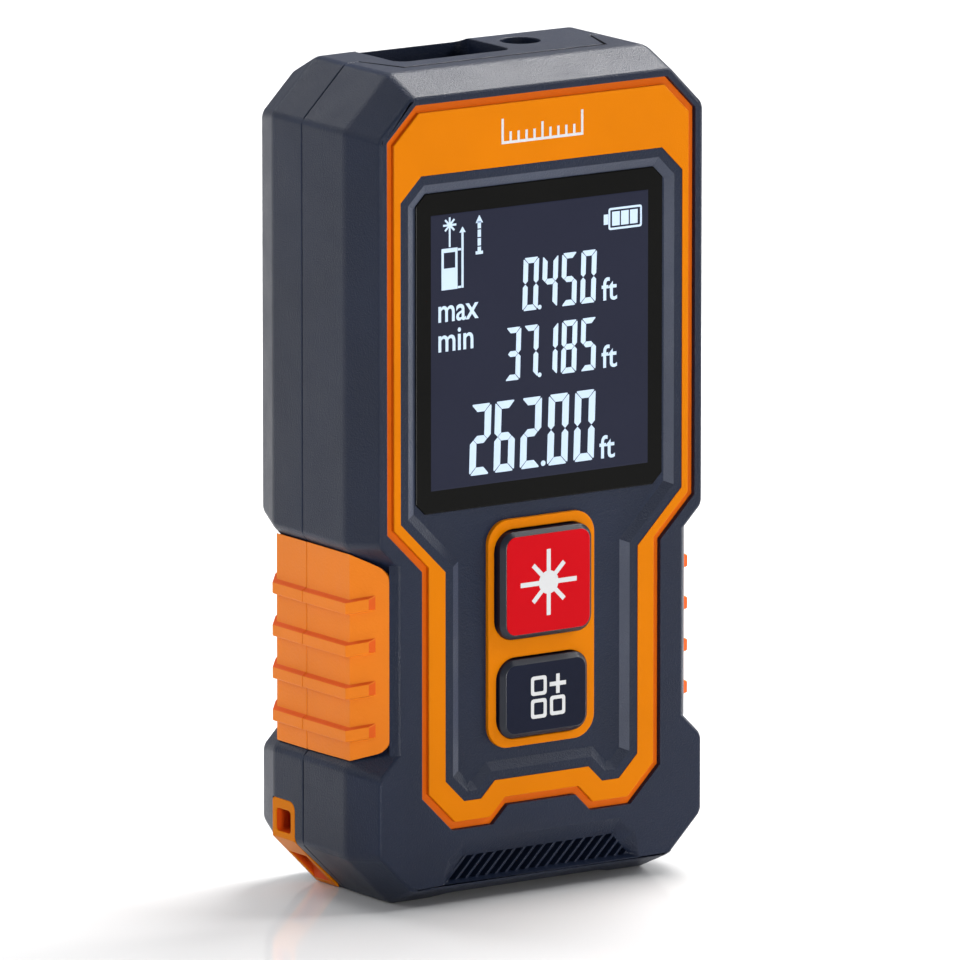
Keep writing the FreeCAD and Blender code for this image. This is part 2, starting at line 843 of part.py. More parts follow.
module_body = rod("module_body", "moduleRound", "laserAcross", "laserDeep", "moduleLow",
                  "moduleTop - moduleLow", axis="z")
collimator_seat = rod("collimator_seat", "collimatorRound", "laserAcross", "laserDeep",
                      "moduleTop - collimatorThick", "beyond", axis="z")
part("laser_module", cut("module", module_body, collimator_seat))
part("laser_lens", rod("collimator", "collimatorRound", "laserAcross", "laserDeep",
                       "moduleTop - collimatorThick", "collimatorThick", axis="z"))
part("laser_window", rod("laser_glass", "laserWindowRound", "laserAcross", "laserDeep",
                         "windowTop - windowThick", "windowThick", axis="z"))
part("receiver_lens", rod("receiver_glass", "receiverRound", "-receiverAcross", "receiverDeep",
                          "receiverTop - receiverThick", "receiverThick", axis="z"))
part("receiver_window", block("receiver_cover", "-bayLeft - windowLip", "bayRight + windowLip / 2",
                              "bayFront - windowLip", "bayBack + windowLip / 4",
                              "windowTop - windowThick", "windowTop"))
part("detector_board", block("detector", "-carrierLeft", "0", "carrierFront", "carrierBack",
                             "detectorLow", "carrierLow"))
part("detector_shield", block("shield", "-carrierLeft + 1", "-1", "carrierFront + 1",
                              "carrierBack - 1", "shieldLow", "detectorLow"))


# ---- power


def cell(name, across):
    """A cell standing upright, with its small end up."""
    can = rod(name + "_can", "cellRound", across, "cellDeep", "cellLow", "cellTop - cellLow", axis="z")
    nub = rod(name + "_nub", "nubRound", across, "cellDeep", "cellTop", "nubTall", axis="z")
    return joined(name, can, nub)


part("battery_left", cell("left_cell", "-cellAcross"))
part("battery_right", cell("right_cell", "cellAcross"))

tray_block = slab("tray_block", "trayHalf", "trayFront", "trayBack", "trayLow", "trayTop")
tray_room = slab("tray_room", "trayHalf - trayWall", "trayFront + trayWall", "trayBack + beyond",
                 "trayLow + trayWall", "trayTop - trayWall")
part("battery_tray", cut("tray", tray_block, tray_room))


def spring(name, across):
    """A short stack of coils on a square foot."""
    foot = block(name + "_foot", f"{across} - springRound", f"{across} + springRound",
                 "cellDeep - springRound", "cellDeep + springRound", "trayLow + trayWall",
                 "trayLow + trayWall + contactThick")
    coils = []
    for turn in range(2):
        coil = doc.addObject("Part::Torus", f"{name}_coil_{turn}")
        bind(coil, Radius1=f"springRound - springWire * {turn + 1}", Radius2="springWire")
        place(coil, x=across, y=back("cellDeep"),
              z=f"trayLow + trayWall + contactThick + springWire / 2 + {turn} * springStep")
        coils.append(coil)
    return joined(name, foot, *coils)


part("battery_springs", joined("springs", spring("left_spring", "-cellAcross"),
                               spring("right_spring", "cellAcross")))


def contact(name, across):
    """A flat plate that the small end of a cell presses on."""
    return block(name, f"{across} - springRound", f"{across} + springRound",
                 "cellDeep - springRound", "cellDeep + springRound",
                 "trayTop - trayWall - contactThick", "trayTop - trayWall")


part("battery_contacts", joined("contacts", contact("left_contact", "-cellAcross"),
                                contact("right_contact", "cellAcross")))

door_plate = rounded_plate("door_plate", "doorHalf", "doorLow", "doorTop",
                           "caseDeep - doorThick", "caseDeep", "doorRound - doorGap")
thumb_grooves = [
    slab(f"thumb_groove_{step}", "thumbHalf", "caseDeep - thumbDeep", "caseDeep + beyond",
         f"thumbHigh - {step} * thumbPitch", f"thumbHigh - {step} * thumbPitch + thumbTall")
    for step in range(4)
]
part("battery_door", cut("door", door_plate, *thumb_grooves))
part("door_pad", slab("pad", "padHalf", "caseDeep - doorThick - padThick", "caseDeep - doorThick",
                      "padLow", "padTop"))


# ---- gasket, label and fasteners


seal_outer = prism("seal_outer", case_outline("sealOuter", "sealOuter", "sealOuter"),
                   "seamDeep - sealHalfDeep", "seamDeep + sealHalfDeep")
seal_inner = prism("seal_inner", case_outline("sealInner", "sealInner", "sealInner"),
                   "seamDeep - wall", "seamDeep + wall")
seal_end = slab("seal_end", "caseHalf", "seamDeep - wall", "seamDeep + wall", "sealTop",
                "caseTall + beyond")
part("case_gasket", cut("seal", seal_outer, seal_inner, seal_end, anchor_block("anchor_seal_room")))
part("rear_label", rounded_plate("label", "labelHalf", "labelLow", "labelTop",
                                 "caseDeep - labelThick", "caseDeep", "labelRound"))


def screw(name, x, z, tip, head_at, shank, head, head_tall):
    """A screw that points forward, with its round head at the back."""
    return joined(
        name,
        rod(name + "_shank", shank, x, tip, z, f"{head_at} - {tip} + {head_tall} / 2"),
        rod(name + "_head", head, x, head_at, z, head_tall),
    )


part("case_screws", joined("case_screw_set", *[
    screw(f"case_screw_{index}", x, z, "screwTip", "headFront", "screwShank", "screwHead", "headTall")
    for index, (x, z) in enumerate(screw_spots())
]))
part("board_screws", joined("board_screw_set", *[
    screw(f"board_screw_{index}", x, z, "boardTip", "boardBack", "boardShank", "boardHead",
          "boardHeadTall")
    for index, (x, z) in enumerate(board_spots())
]))


# ---- hand-over


doc.recompute()
for thing in doc.Objects:
    if {"Invalid", "Error"} & set(thing.State):
        raise RuntimeError(f"{thing.Name} failed: {thing.State}")
os.makedirs("parts", exist_ok=True)
for solid in parts:
    if solid.Shape.isNull() or not solid.Shape.isValid():
        raise RuntimeError(f"{solid.Label} has no valid shape")
    solid.Shape.exportStep(f"parts/{solid.Label}.step")
    box = solid.Shape.BoundBox
    print(f"{solid.Label}: {len(solid.Shape.Solids)} solid(s), {solid.Shape.Volume:.1f} mm3, "
          f"{box.XLength:.2f} x {box.YLength:.2f} x {box.ZLength:.2f} mm")
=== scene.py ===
from math import cos, hypot, pi, radians, sin

import bmesh
import bpy
from mathutils import Matrix, Vector


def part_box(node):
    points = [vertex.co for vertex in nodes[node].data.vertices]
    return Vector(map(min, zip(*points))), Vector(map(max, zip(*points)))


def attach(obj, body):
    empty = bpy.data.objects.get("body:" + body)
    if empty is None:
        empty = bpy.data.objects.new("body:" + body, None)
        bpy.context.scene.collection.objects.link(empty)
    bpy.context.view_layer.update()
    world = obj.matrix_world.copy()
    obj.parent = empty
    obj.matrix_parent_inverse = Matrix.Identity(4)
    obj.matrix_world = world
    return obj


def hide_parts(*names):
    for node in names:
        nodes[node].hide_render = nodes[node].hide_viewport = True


# Pocket laser distance meter. Everything is in metres, X to the right, -Y the display side, Z up.

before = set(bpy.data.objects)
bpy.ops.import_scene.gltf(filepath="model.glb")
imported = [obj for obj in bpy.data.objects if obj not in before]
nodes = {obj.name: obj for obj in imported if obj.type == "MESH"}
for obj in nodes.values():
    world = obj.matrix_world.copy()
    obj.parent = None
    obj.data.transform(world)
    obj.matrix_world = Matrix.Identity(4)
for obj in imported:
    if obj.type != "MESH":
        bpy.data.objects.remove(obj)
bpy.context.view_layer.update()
mm = 0.001
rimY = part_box("front_shell")[0].y  # rim of the front face, every depth is counted back from it


def at(depth):  # Y of a depth in mm behind the rim of the front face
    return rimY + depth * mm


def srgb(red, green, blue):  # a colour as a paint chip gives it, turned to linear
    chip = [value / 255 for value in (red, green, blue)]
    return tuple(v / 12.92 if v <= 0.04045 else ((v + 0.055) / 1.055) ** 2.4 for v in chip)


def scaled(colour, share):  # a lighter or darker one, ready for a shader socket
    return (*[min(1, part * share) for part in colour], 1)


camera = {
    "turn": -34.63,  # degrees round the meter, 0 is straight in front
    "rise": 11.235,
    "distance": 1.9468,
    "lens": 583.8, "sensor": 36, "sees": 50,
    "across": -7.731 * mm,  # aim, to the right of the middle
    "up": 51.595 * mm,
}


def addCamera():
    turn, rise = radians(camera["turn"]), radians(camera["rise"])
    back = Vector((sin(turn) * cos(rise), -cos(turn) * cos(rise), sin(rise)))
    right = Vector((cos(turn), sin(turn), 0))
    aim = right * camera["across"] + back.cross(right) * camera["up"] + Vector((0, at(0), 0))
    bpy.ops.object.camera_add(location=aim + back * camera["distance"], rotation=(pi / 2 - rise, 0, turn))
    eye = bpy.context.object
    eye.name = "studioCamera"
    eye.data.lens = camera["lens"]
    eye.data.sensor_width = camera["sensor"]
    eye.data.clip_end = camera["sees"]
    bpy.context.scene.camera = eye


softboxes = {
    # name: (where it hangs, what it faces, width, height, watts, colour, seen in reflections)
    "overheadBox": ((0.45, 0.16, 0.69), (0.0, 0.0, 0.09), 0.46, 0.32, 11.0, (1.0, 0.985, 0.965), True),
    "backBox": ((0.15, 1.20, 0.95), (0.0, 0.25, 0.0), 1.70, 1.20, 20.0, (1.0, 1.0, 1.0), False),
    "upLeftBox": ((-0.80, 0.20, 0.66), (0.0, 0.0, 0.06), 0.45, 0.40, 2.3, (0.98, 0.99, 1.0), True),
    "rimBox": ((-0.24, 0.95, 0.72), (0.0, 0.0, 0.09), 0.35, 0.30, 2.2, (1.0, 1.0, 1.0), True),
    "leftBox": ((-0.60, 0.80, 0.22), (0.0, 0.0, 0.05), 0.60, 0.40, 0.7, (0.97, 0.985, 1.0), True),
    "rightBox": ((1.00, -0.04, 0.16), (0.0, 0.0, 0.06), 0.30, 0.32, 3.0, (1.0, 1.0, 1.0), True),
    "stripBox": ((-0.34, -1.10, 0.15), (0.0, 0.0, 0.06), 0.20, 0.30, 6.5, (1.0, 1.0, 1.0), True),
    "frontBox": ((0.90, -0.52, 0.78), (0.0, 0.0, 0.05), 0.40, 0.32, 8.0, (1.0, 1.0, 1.0), True),
}


air = {"colour": (0.97, 0.985, 1.0, 1), "strength": 0.30}
floorPaper = {"size": 8, "colour": (0.76, 0.76, 0.765, 1), "patch": 3.0, "rough": (0.06, 0.08), "gloss": 0.5}


def addLights():
    for name, (place, target, width, height, power, tint, mirrored) in softboxes.items():
        bpy.ops.object.light_add(type='AREA', location=place)
        box = bpy.context.object
        box.name = name
        box.data.shape = 'RECTANGLE'
        box.data.size = width
        box.data.size_y = height
        box.data.energy = power
        box.data.color = tint
        box.visible_glossy = mirrored
        box.rotation_euler = (Vector(target) - Vector(place)).to_track_quat('-Z', 'Y').to_euler()
    sky = bpy.data.worlds.new("studioAir")
    bpy.context.scene.world = sky
    sky.use_nodes = True
    shader = sky.node_tree.nodes["Background"]
    shader.inputs["Color"].default_value = air["colour"]
    shader.inputs["Strength"].default_value = air["strength"]


def addFloor():
    bpy.ops.mesh.primitive_plane_add(size=floorPaper["size"], location=(0, 0, 0))
    floor = bpy.context.object
    floor.name = "studioFloor"
    paper = bpy.data.materials.new("paleFloor")
    paper.use_nodes = True
    links, shader = paper.node_tree.links, paper.node_tree.nodes["Principled BSDF"]
    shader.inputs["Base Color"].default_value = floorPaper["colour"]
    shader.inputs["Specular IOR Level"].default_value = floorPaper["gloss"]
    grain = paper.node_tree.nodes.new("ShaderNodeTexNoise")
    grain.inputs["Scale"].default_value = floorPaper["patch"]
    tone = paper.node_tree.nodes.new("ShaderNodeMapRange")
    tone.inputs["To Min"].default_value, tone.inputs["To Max"].default_value = floorPaper["rough"]
    links.new(grain.outputs["Fac"], tone.inputs["Value"])
    links.new(tone.outputs["Result"], shader.inputs["Roughness"])
    floor.data.materials.append(paper)


addCamera()
addLights()
addFloor()
bpy.context.scene.view_settings.view_transform = 'Standard'
print("camera, lights and floor")


plainLook = {  # what a finish has unless it says otherwise; sizes in mm
    "drift": 0.12, "patch": 14.0, "grain": 0.25, "grainDepth": 0.25, "gloss": 0.5, "metal": 0.0,
    "coat": 0.0, "coatRough": 0.08, "roughDrift": 0.08, "bumpShare": 0.4, "edgeLiftFrom": 0.50, "edgeLiftTo": 0.62,
}


def finish(name, look):  # a moulded, painted or machined surface
    look = {**plainLook, **look}
    skin = bpy.data.materials.new(name)
    skin.use_nodes = True
    tree = skin.node_tree
    shader = tree.nodes["Principled BSDF"]
    add, link = tree.nodes.new, tree.links.new
    place = add("ShaderNodeTexCoord").outputs["Object"]

    def cloud(size, detail=2.0):  # noise whose lumps are about so many mm
        noise = add("ShaderNodeTexNoise")
        noise.inputs["Scale"].default_value = 1 / (size * mm)
        noise.inputs["Detail"].default_value = detail
        link(place, noise.inputs["Vector"])
        return noise.outputs["Fac"]

    def spread(value, low, high):
        span = add("ShaderNodeMapRange")
        span.inputs["From Min"].default_value = 0.3
        span.inputs["From Max"].default_value = 0.7
        span.inputs["To Min"].default_value = low
        span.inputs["To Max"].default_value = high
        link(value, span.inputs["Value"])
        return span.outputs["Result"]

    base, drift = look["colour"], look["drift"]
    shade = add("ShaderNodeMix")
    shade.data_type = 'RGBA'
    shade.inputs["A"].default_value = scaled(base, 1 - drift)
    shade.inputs["B"].default_value = scaled(base, 1 + drift)
    link(spread(cloud(look["patch"]), 0, 1), shade.inputs["Factor"])
    colour = shade.outputs["Result"]
    if "edgeLift" in look:  # sharp outer edges are painted a little lighter
        edge = add("ShaderNodeValToRGB")
        edge.color_ramp.elements[0].position = look["edgeLiftFrom"]
        edge.color_ramp.elements[1].position = look["edgeLiftTo"]
        link(add("ShaderNodeNewGeometry").outputs["Pointiness"], edge.inputs["Fac"])
        edgeMix = add("ShaderNodeMix")
        edgeMix.data_type = 'RGBA'
        link(colour, edgeMix.inputs["A"])
        edgeMix.inputs["B"].default_value = scaled(base, look["edgeLift"])
        link(edge.outputs["Color"], edgeMix.inputs["Factor"])
        colour = edgeMix.outputs["Result"]
    link(colour, shader.inputs["Base Color"])
    rough, change = look["rough"], look["roughDrift"]
    wear = spread(cloud(look["patch"] / 3), rough * (1 - change), rough * (1 + change))
    link(wear, shader.inputs["Roughness"])
    bump = add("ShaderNodeBump")
    bump.inputs["Strength"].default_value = look["grainDepth"]
    bump.inputs["Distance"].default_value = look["grain"] * mm * look["bumpShare"]
    link(cloud(look["grain"], 3.0), bump.inputs["Height"])
    link(bump.outputs["Normal"], shader.inputs["Normal"])
    shader.inputs["Specular IOR Level"].default_value = look["gloss"]
    shader.inputs["Metallic"].default_value = look["metal"]
    shader.inputs["Coat Weight"].default_value = look["coat"]
    shader.inputs["Coat Roughness"].default_value = look["coatRough"]
    if "glow" in look:
        link(colour, shader.inputs["Emission Color"])
        shader.inputs["Emission Strength"].default_value = look["glow"]
    return skin


moulded = {"grain": 0.20, "grainDepth": 1.0}  # the fine texture of the dark shells
lacquered = {"grain": 0.22, "grainDepth": 0.2, "drift": 0.04}
rubber = {"grain": 0.30, "grainDepth": 0.35, "drift": 0.05}
keyCap = {"grain": 0.20, "grainDepth": 0.15}
polished = {"grainDepth": 0.02}
finishes = {
    "navyShell": {"colour": srgb(18, 26, 44), "rough": 0.40, "gloss": 0.22, "edgeLift": 1.3, **moulded},
    # painted light: the slopes of the face panel are lighter than the shell
    "panelSlope": {"colour": srgb(52, 58, 74), "rough": 0.42, "gloss": 0.26, **moulded},
    # painted shade in the tongue seam on the top
    "seamShade": {"colour": srgb(5, 6, 12), "rough": 0.8, "gloss": 0.05},
    "orangeTrim": {"colour": srgb(196, 109, 0), "rough": 0.42, "gloss": 0.05, **lacquered},
    # painted shade: the ledge round the trim's raised plate is darker and redder
    "orangeLedgePaintedShade": {"colour": srgb(202, 92, 8), "rough": 0.45, "gloss": 0.10, **lacquered},
    # painted shade: the walls inside the anchor's window and passage are darker
    "anchorPaintedShade": {"colour": srgb(196, 70, 6), "rough": 0.55, "gloss": 0.15, **lacquered},
    "rubberGrip": {"colour": srgb(214, 114, 10), "rough": 0.50, "gloss": 0.24, **rubber},
    # painted shade: the upper slopes and the ends of the ribs are darker and redder
    "rubberPaintedShade": {"colour": srgb(204, 84, 18), "rough": 0.60, "gloss": 0.12, **rubber},
    "keyNavy": {"colour": srgb(13, 18, 36), "rough": 0.36, "gloss": 0.11, **keyCap},
    "keyEdge": {"colour": srgb(16, 21, 34), "rough": 0.34, "gloss": 0.42, **keyCap},
    "keyRed": {"colour": srgb(178, 3, 16), "rough": 0.40, "gloss": 0.06, "grain": 0.20, "grainDepth": 0.10,
               "drift": 0.03},
    "lensBlack": {"colour": srgb(11, 11, 10), "rough": 0.14, "gloss": 0.07, **polished},
    "lcdDark": {"colour": srgb(24, 26, 39), "rough": 0.20, "gloss": 0.1, "glow": 0.8, "drift": 0.04,
                **polished},
    "segmentLight": {"colour": srgb(176, 194, 214), "rough": 0.5, "gloss": 0.1, "glow": 0.22, "drift": 0.03,
                     **polished},
    "printWhite": {"colour": srgb(194, 195, 196), "rough": 0.55, "gloss": 0.2, "drift": 0.03,
                   "grainDepth": 0.05},
    "opticBlack": {"colour": srgb(12, 12, 14), "rough": 0.45, "gloss": 0.3},
    "opticGlass": {"colour": srgb(12, 15, 24), "rough": 0.06, "gloss": 0.6, "coat": 0.5, **polished},
    "lensGlass": {"colour": srgb(60, 40, 80), "rough": 0.04, "gloss": 0.8, "coat": 0.6, **polished},
    "blackRubber": {"colour": srgb(24, 24, 26), "rough": 0.7, "gloss": 0.3},
    "foamGrey": {"colour": srgb(70, 72, 78), "rough": 0.9, "gloss": 0.2, "grain": 0.5, "grainDepth": 0.7},
    "screwSteel": {"colour": srgb(150, 150, 155), "rough": 0.32, "metal": 1.0, "grainDepth": 0.15},
    "shieldSteel": {"colour": srgb(175, 176, 178), "rough": 0.35, "metal": 1.0},
    "springSteel": {"colour": srgb(200, 196, 186), "rough": 0.25, "metal": 1.0},
    "barrelBrass": {"colour": srgb(190, 150, 80), "rough": 0.28, "metal": 1.0},
    "cellWrap": {"colour": srgb(60, 66, 74), "rough": 0.3, "coat": 0.3},
    "boardGreen": {"colour": srgb(20, 78, 42), "rough": 0.35, "coat": 0.4, "grain": 0.8},
    "chipBlack": {"colour": srgb(28, 28, 30), "rough": 0.5},
    "flexAmber": {"colour": srgb(150, 92, 30), "rough": 0.35},
    "lightGuide": {"colour": srgb(225, 230, 235), "rough": 0.4},
    "labelSilver": {"colour": srgb(150, 154, 160), "rough": 0.42, "gloss": 0.5, "drift": 0.04, "grain": 0.12},
}
materials = {name: finish(name, look) for name, look in finishes.items()}

cadFinishes = {  # what the CAD nodes that stay are made of
    "lcd_panel": "lcdDark", "lcd_backlight": "lightGuide", "lcd_flex": "flexAmber",
    "keypad_mat": "blackRubber", "key_switches": "shieldSteel", "case_gasket": "blackRubber",
    "main_board": "boardGreen", "detector_board": "boardGreen",
    "processor": "chipBlack", "buzzer": "chipBlack",
    "optics_carrier": "opticBlack", "laser_module": "barrelBrass", "laser_lens": "lensGlass",
    "receiver_lens": "lensGlass", "laser_window": "opticGlass", "receiver_window": "opticGlass",
    "detector_shield": "shieldSteel", "battery_tray": "opticBlack", "battery_left": "cellWrap",
    "battery_right": "cellWrap", "battery_springs": "springSteel", "battery_contacts": "springSteel",
    "door_pad": "foamGrey", "board_screws": "screwSteel",
}
for nodeName, finishName in cadFinishes.items():
    if not nodes[nodeName].data.materials:
        nodes[nodeName].data.materials.append(None)
    nodes[nodeName].material_slots[0].material = materials[finishName]
print("finishes")


def only(piece):  # this piece selected and active, nothing else
    bpy.ops.object.select_all(action='DESELECT')
    bpy.context.view_layer.objects.active = piece
    piece.select_set(True)


def openMesh(piece, kind='EDGE'):  # edit mode with nothing selected
    only(piece)
    bpy.ops.object.mode_set(mode='EDIT')
    bpy.ops.mesh.select_mode(type=kind)
    bpy.ops.mesh.select_all(action='DESELECT')


def closeMesh():
    bpy.ops.object.mode_set(mode='OBJECT')


def pick(piece, kind, wanted):  # select what passes a test of place or normal
    bpy.ops.mesh.select_mode(type={"verts": 'VERT', "edges": 'EDGE', "faces": 'FACE'}[kind])
    bpy.ops.mesh.select_all(action='DESELECT')
    shape = bmesh.from_edit_mesh(piece.data)
    shape.normal_update()
    count = 0
    for item in getattr(shape, kind):
        if wanted(item):
            item.select_set(True)
            count += 1
    bmesh.update_edit_mesh(piece.data)
    return count


def depthOf(point):
    return (point.y - rimY) / mm


def spotOf(point):  # distance from the middle, depth and height
    return abs(point.x) / mm, depthOf(point), point.z / mm


def spot(vert):
    return spotOf(vert.co)


def isNear(value, goal, slack=0.02):
    return abs(value - goal) < slack


def middleOf(face):
    return face.calc_center_median()


def alongDepth(edge):  # runs from front to back
    way = edge.verts[1].co - edge.verts[0].co
    return abs(way.y) > 0.85 * way.length


def atDepth(edge, depth, slack=0.02):
    return all(isNear(depthOf(v.co), depth, slack) for v in edge.verts)


def creased(edge, angle=20):
    return edge.is_manifold and edge.calc_face_angle() > radians(angle)


def roundOff(piece, wanted, width, steps=3):  # bevel the edges that pass a test
    if pick(piece, "edges", wanted):
        bpy.ops.mesh.bevel(offset=width * mm, offset_type='OFFSET', segments=steps, profile=0.5,
                           affect='EDGES', clamp_overlap=False)


def softenCuts(piece, width, steps=2, angle=35):  # every sharp edge that is left
    bevel = piece.modifiers.new("soften", 'BEVEL')
    bevel.width = width * mm
    bevel.segments = steps
    bevel.use_clamp_overlap = False
    bevel.limit_method = 'ANGLE'
    bevel.angle_limit = radians(angle)
    only(piece)
    bpy.ops.object.modifier_apply(modifier=bevel.name)


def smooth(piece, angle=13):
    only(piece)
    bpy.ops.object.shade_smooth_by_angle(angle=radians(angle))
    weigh = piece.modifiers.new("weigh", 'WEIGHTED_NORMAL')
    weigh.keep_sharp = True
    bpy.ops.object.modifier_apply(modifier=weigh.name)


def settle(piece, name, finishName, body, slot, *stoodFor):  # name it, paint it and hang it on its body
    only(piece)
    bpy.ops.object.transform_apply()
    piece.name = name
    if finishName:
        piece.data.materials.clear()
        piece.data.materials.append(materials[finishName])
    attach(piece, body)
    if stoodFor:
        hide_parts(*stoodFor)
    return piece


def workingCopy(nodeName):  # a merged copy of a CAD node, with clean flat faces, to refine
    piece = nodes[nodeName].copy()
    piece.data = nodes[nodeName].data.copy()
    piece.parent = None
    for key in list(piece.keys()):
        del piece[key]
    bpy.context.scene.collection.objects.link(piece)
    piece.hide_render = False
    openMesh(piece)
    bpy.ops.mesh.select_all(action='SELECT')
    bpy.ops.mesh.remove_doubles(threshold=0.002 * mm)
    bpy.ops.mesh.dissolve_limited(angle_limit=radians(0.4))
    return piece


def addBlock(left, right, near, far, low, high):  # a box between two sides, depths and heights
    bpy.ops.object.select_all(action='DESELECT')
    middle = ((left + right) / 2 * mm, at((near + far) / 2), (low + high) / 2 * mm)
    bpy.ops.mesh.primitive_cube_add(size=1, location=middle)
    piece = bpy.context.object
    bpy.ops.transform.resize(value=((right - left) * mm, (far - near) * mm, (high - low) * mm))
    bpy.ops.object.transform_apply()
    return piece


def addOutline(around, depth):  # a flat outline with its corners at these places
    bpy.ops.object.select_all(action='DESELECT')
    bpy.ops.mesh.primitive_circle_add(vertices=len(around), radius=20 * mm, fill_type='NGON',
                                      location=(0, at(depth), 50 * mm), rotation=(pi / 2, 0, 0))
    bpy.ops.object.transform_apply()
    piece = bpy.context.object
    starts = [vert.co.copy() for vert in piece.data.vertices]
    openMesh(piece)
    for index, (x, z) in enumerate(around):
        pick(piece, "verts", lambda vert: vert.index == index)
        bpy.ops.transform.translate(value=Vector((x * mm, at(depth), z * mm)) - starts[index])
    bpy.ops.mesh.select_all(action='SELECT')
    return piece


def bothHands(corners):  # the right half of an outline, closed by its mirror image
    return list(corners) + [(-x, z) for x, z in reversed(corners)]


def roundCorners(piece, width, steps, wanted=alongDepth):  # the long corners of a block
    openMesh(piece)
    roundOff(piece, wanted, width, steps)
    closeMesh()
    return piece


def pull(distance, x=0, z=0):  # extrude what is selected towards the front
    bpy.ops.mesh.extrude_region_move(TRANSFORM_OT_translate={"value": (x * mm, -distance * mm, z * mm)})


def makeSolid():
    bpy.ops.mesh.select_all(action='SELECT')
    bpy.ops.mesh.normals_make_consistent(inside=False)


def addPrism(around, near, far):
    piece = addOutline(around, far)
    pull(far - near)
    makeSolid()
    closeMesh()
    return piece


def paintFaces(piece, finishName, wanted):  # a second finish on some of the faces
    piece.data.materials.append(materials[finishName])
    openMesh(piece, 'FACE')
    pick(piece, "faces", wanted)
    piece.active_material_index = 1
    bpy.ops.object.material_slot_assign()
    closeMesh()


def addRod(x, z, radius, near, far, sides=32):  # a round bar from front to back
    bpy.ops.object.select_all(action='DESELECT')
    middle = (x * mm, at((near + far) / 2), z * mm)
    bpy.ops.mesh.primitive_cylinder_add(vertices=sides, radius=radius * mm, depth=(far - near) * mm,
                                        location=middle, rotation=(pi / 2, 0, 0))
    bpy.ops.object.transform_apply()
    return bpy.context.object


def joinAll(pieces):
    only(pieces[0])
    for piece in pieces:
        piece.select_set(True)
    if len(pieces) > 1:
        bpy.ops.object.join()
    return bpy.context.object


def fuse(piece, other, way='UNION'):  # add another solid to this one, or cut it away
    cutter = piece.modifiers.new("fuse", 'BOOLEAN')
    cutter.operation = way
    cutter.solver = 'EXACT'
    cutter.object = other
    only(piece)
    bpy.ops.object.modifier_apply(modifier=cutter.name)
    bpy.data.objects.remove(other)
    return piece


def turned(piece, degrees, x, z):  # turn a piece in the plane of the front face
    only(piece)
    bpy.ops.transform.rotate(value=radians(degrees), orient_axis='Y', center_override=(x * mm, at(0), z * mm))
    bpy.ops.object.transform_apply()
    return piece


def facing(direction, slack=0.99):  # faces that look one way
    way = Vector(direction)
    return lambda face: face.normal.dot(way) > slack


case = {
    "cornerRound": 0.65,
    "rimRound": 0.35,
    "shoulderRound": 0.5,
    "backMargin": 0.6,  # keeps the long edges on the back away from its rim
    "cutRound": 0.10,
    # depth, and how far the outline is drawn in there at the sides, the top and the base
    "rings": [(0, 1.62, 2.3, 2.46), (5.5, 0, 0, 0), (21.4, 0, 0, 0), (27, 2.2, 2.6, 2.3)],
    "half": 26.0, "waist": 23.05, "topHalf": 19.4, "footHalf": 19.3,
    "high": 105.0, "waistHigh": 43.2, "waistLow": 20.9,
    "archHalf": 15.3, "archLow": 2.6, "archHigh": 8.6,  # the notch with the slots, between the feet
    "seam": 14.8, "seamCut": 0.14,
    "tongue": 8.1, "tongueSide": (15.0, 17.8), "tongueCut": 0.22, "tongueFall": 0.4,
}


def caseCorners(side, top, base):  # right half of the outline, from the top down
    drop, step = (2 ** 0.5 - 1) * side, case["half"] - case["waist"]
    half, waist = case["half"] - side, case["waist"] - side
    return [
        (case["topHalf"] + top - 2 ** 0.5 * side, case["high"] - top),
        (half, case["high"] + case["topHalf"] - case["half"] - drop),
        (half, case["waistHigh"] + step + drop),
        (waist, case["waistHigh"] + drop),
        (waist, case["waistLow"] - drop),
        (half, case["waistLow"] - step - drop),
        (half, case["half"] - case["footHalf"] + drop),
        (case["footHalf"] + base - 2 ** 0.5 * side, base),
    ]


def onCorner(point):  # on one of the corner lines of the case
    depth, x, z = depthOf(point), abs(point.x) / mm, point.z / mm
    for (near, *drawnNear), (far, *drawnFar) in zip(case["rings"], case["rings"][1:]):
        if near - 0.01 <= depth <= far + 0.01:
            share = (depth - near) / (far - near)
            for a, b in zip(caseCorners(*drawnNear), caseCorners(*drawnFar)):
                if hypot(x - a[0] - (b[0] - a[0]) * share, z - a[1] - (b[1] - a[1]) * share) < 0.05:
                    return True
    return False


def cornerEdge(edge):
    return alongDepth(edge) and all(onCorner(v.co) for v in edge.verts) and creased(edge)


def frontRim(edge):
    if not atDepth(edge, 0) or not edge.is_manifold:
        return False
    middle = (edge.verts[0].co + edge.verts[1].co) / 2
    if abs(middle.x) < case["archHalf"] * mm and case["archLow"] * mm < middle.z < case["archHigh"] * mm:
        return False
    tilts = sorted(face.normal.y for face in edge.link_faces)
    return tilts[0] < -0.99 and -0.9 < tilts[1] < -0.1


def backRim(edge):
    if not atDepth(edge, case["rings"][-1][0]) or not edge.is_manifold:
        return False
    tilts = sorted(face.normal.y for face in edge.link_faces)
    return tilts[1] > 0.99 and 0.1 < tilts[0] < 0.95


def shoulder(depth):
    def test(edge):
        if not atDepth(edge, depth) or not edge.is_manifold:
            return False
        tilts = sorted(abs(face.normal.y) for face in edge.link_faces)
        return tilts[0] < 0.02 and 0.15 < tilts[1] < 0.6
    return test


def onOutline(point):  # on the widest outline of the case
    x, z = abs(point.x) / mm, point.z / mm
    corners = [(0, case["high"]), *caseCorners(0, 0, 0), (0, 0)]
    for (x0, z0), (x1, z1) in zip(corners, corners[1:]):
        long = hypot(x1 - x0, z1 - z0)
        along = ((x - x0) * (x1 - x0) + (z - z0) * (z1 - z0)) / long
        if abs((x - x0) * (z1 - z0) - (z - z0) * (x1 - x0)) / long < 0.06 and -0.01 < along < long + 0.01:
            return True
    return False


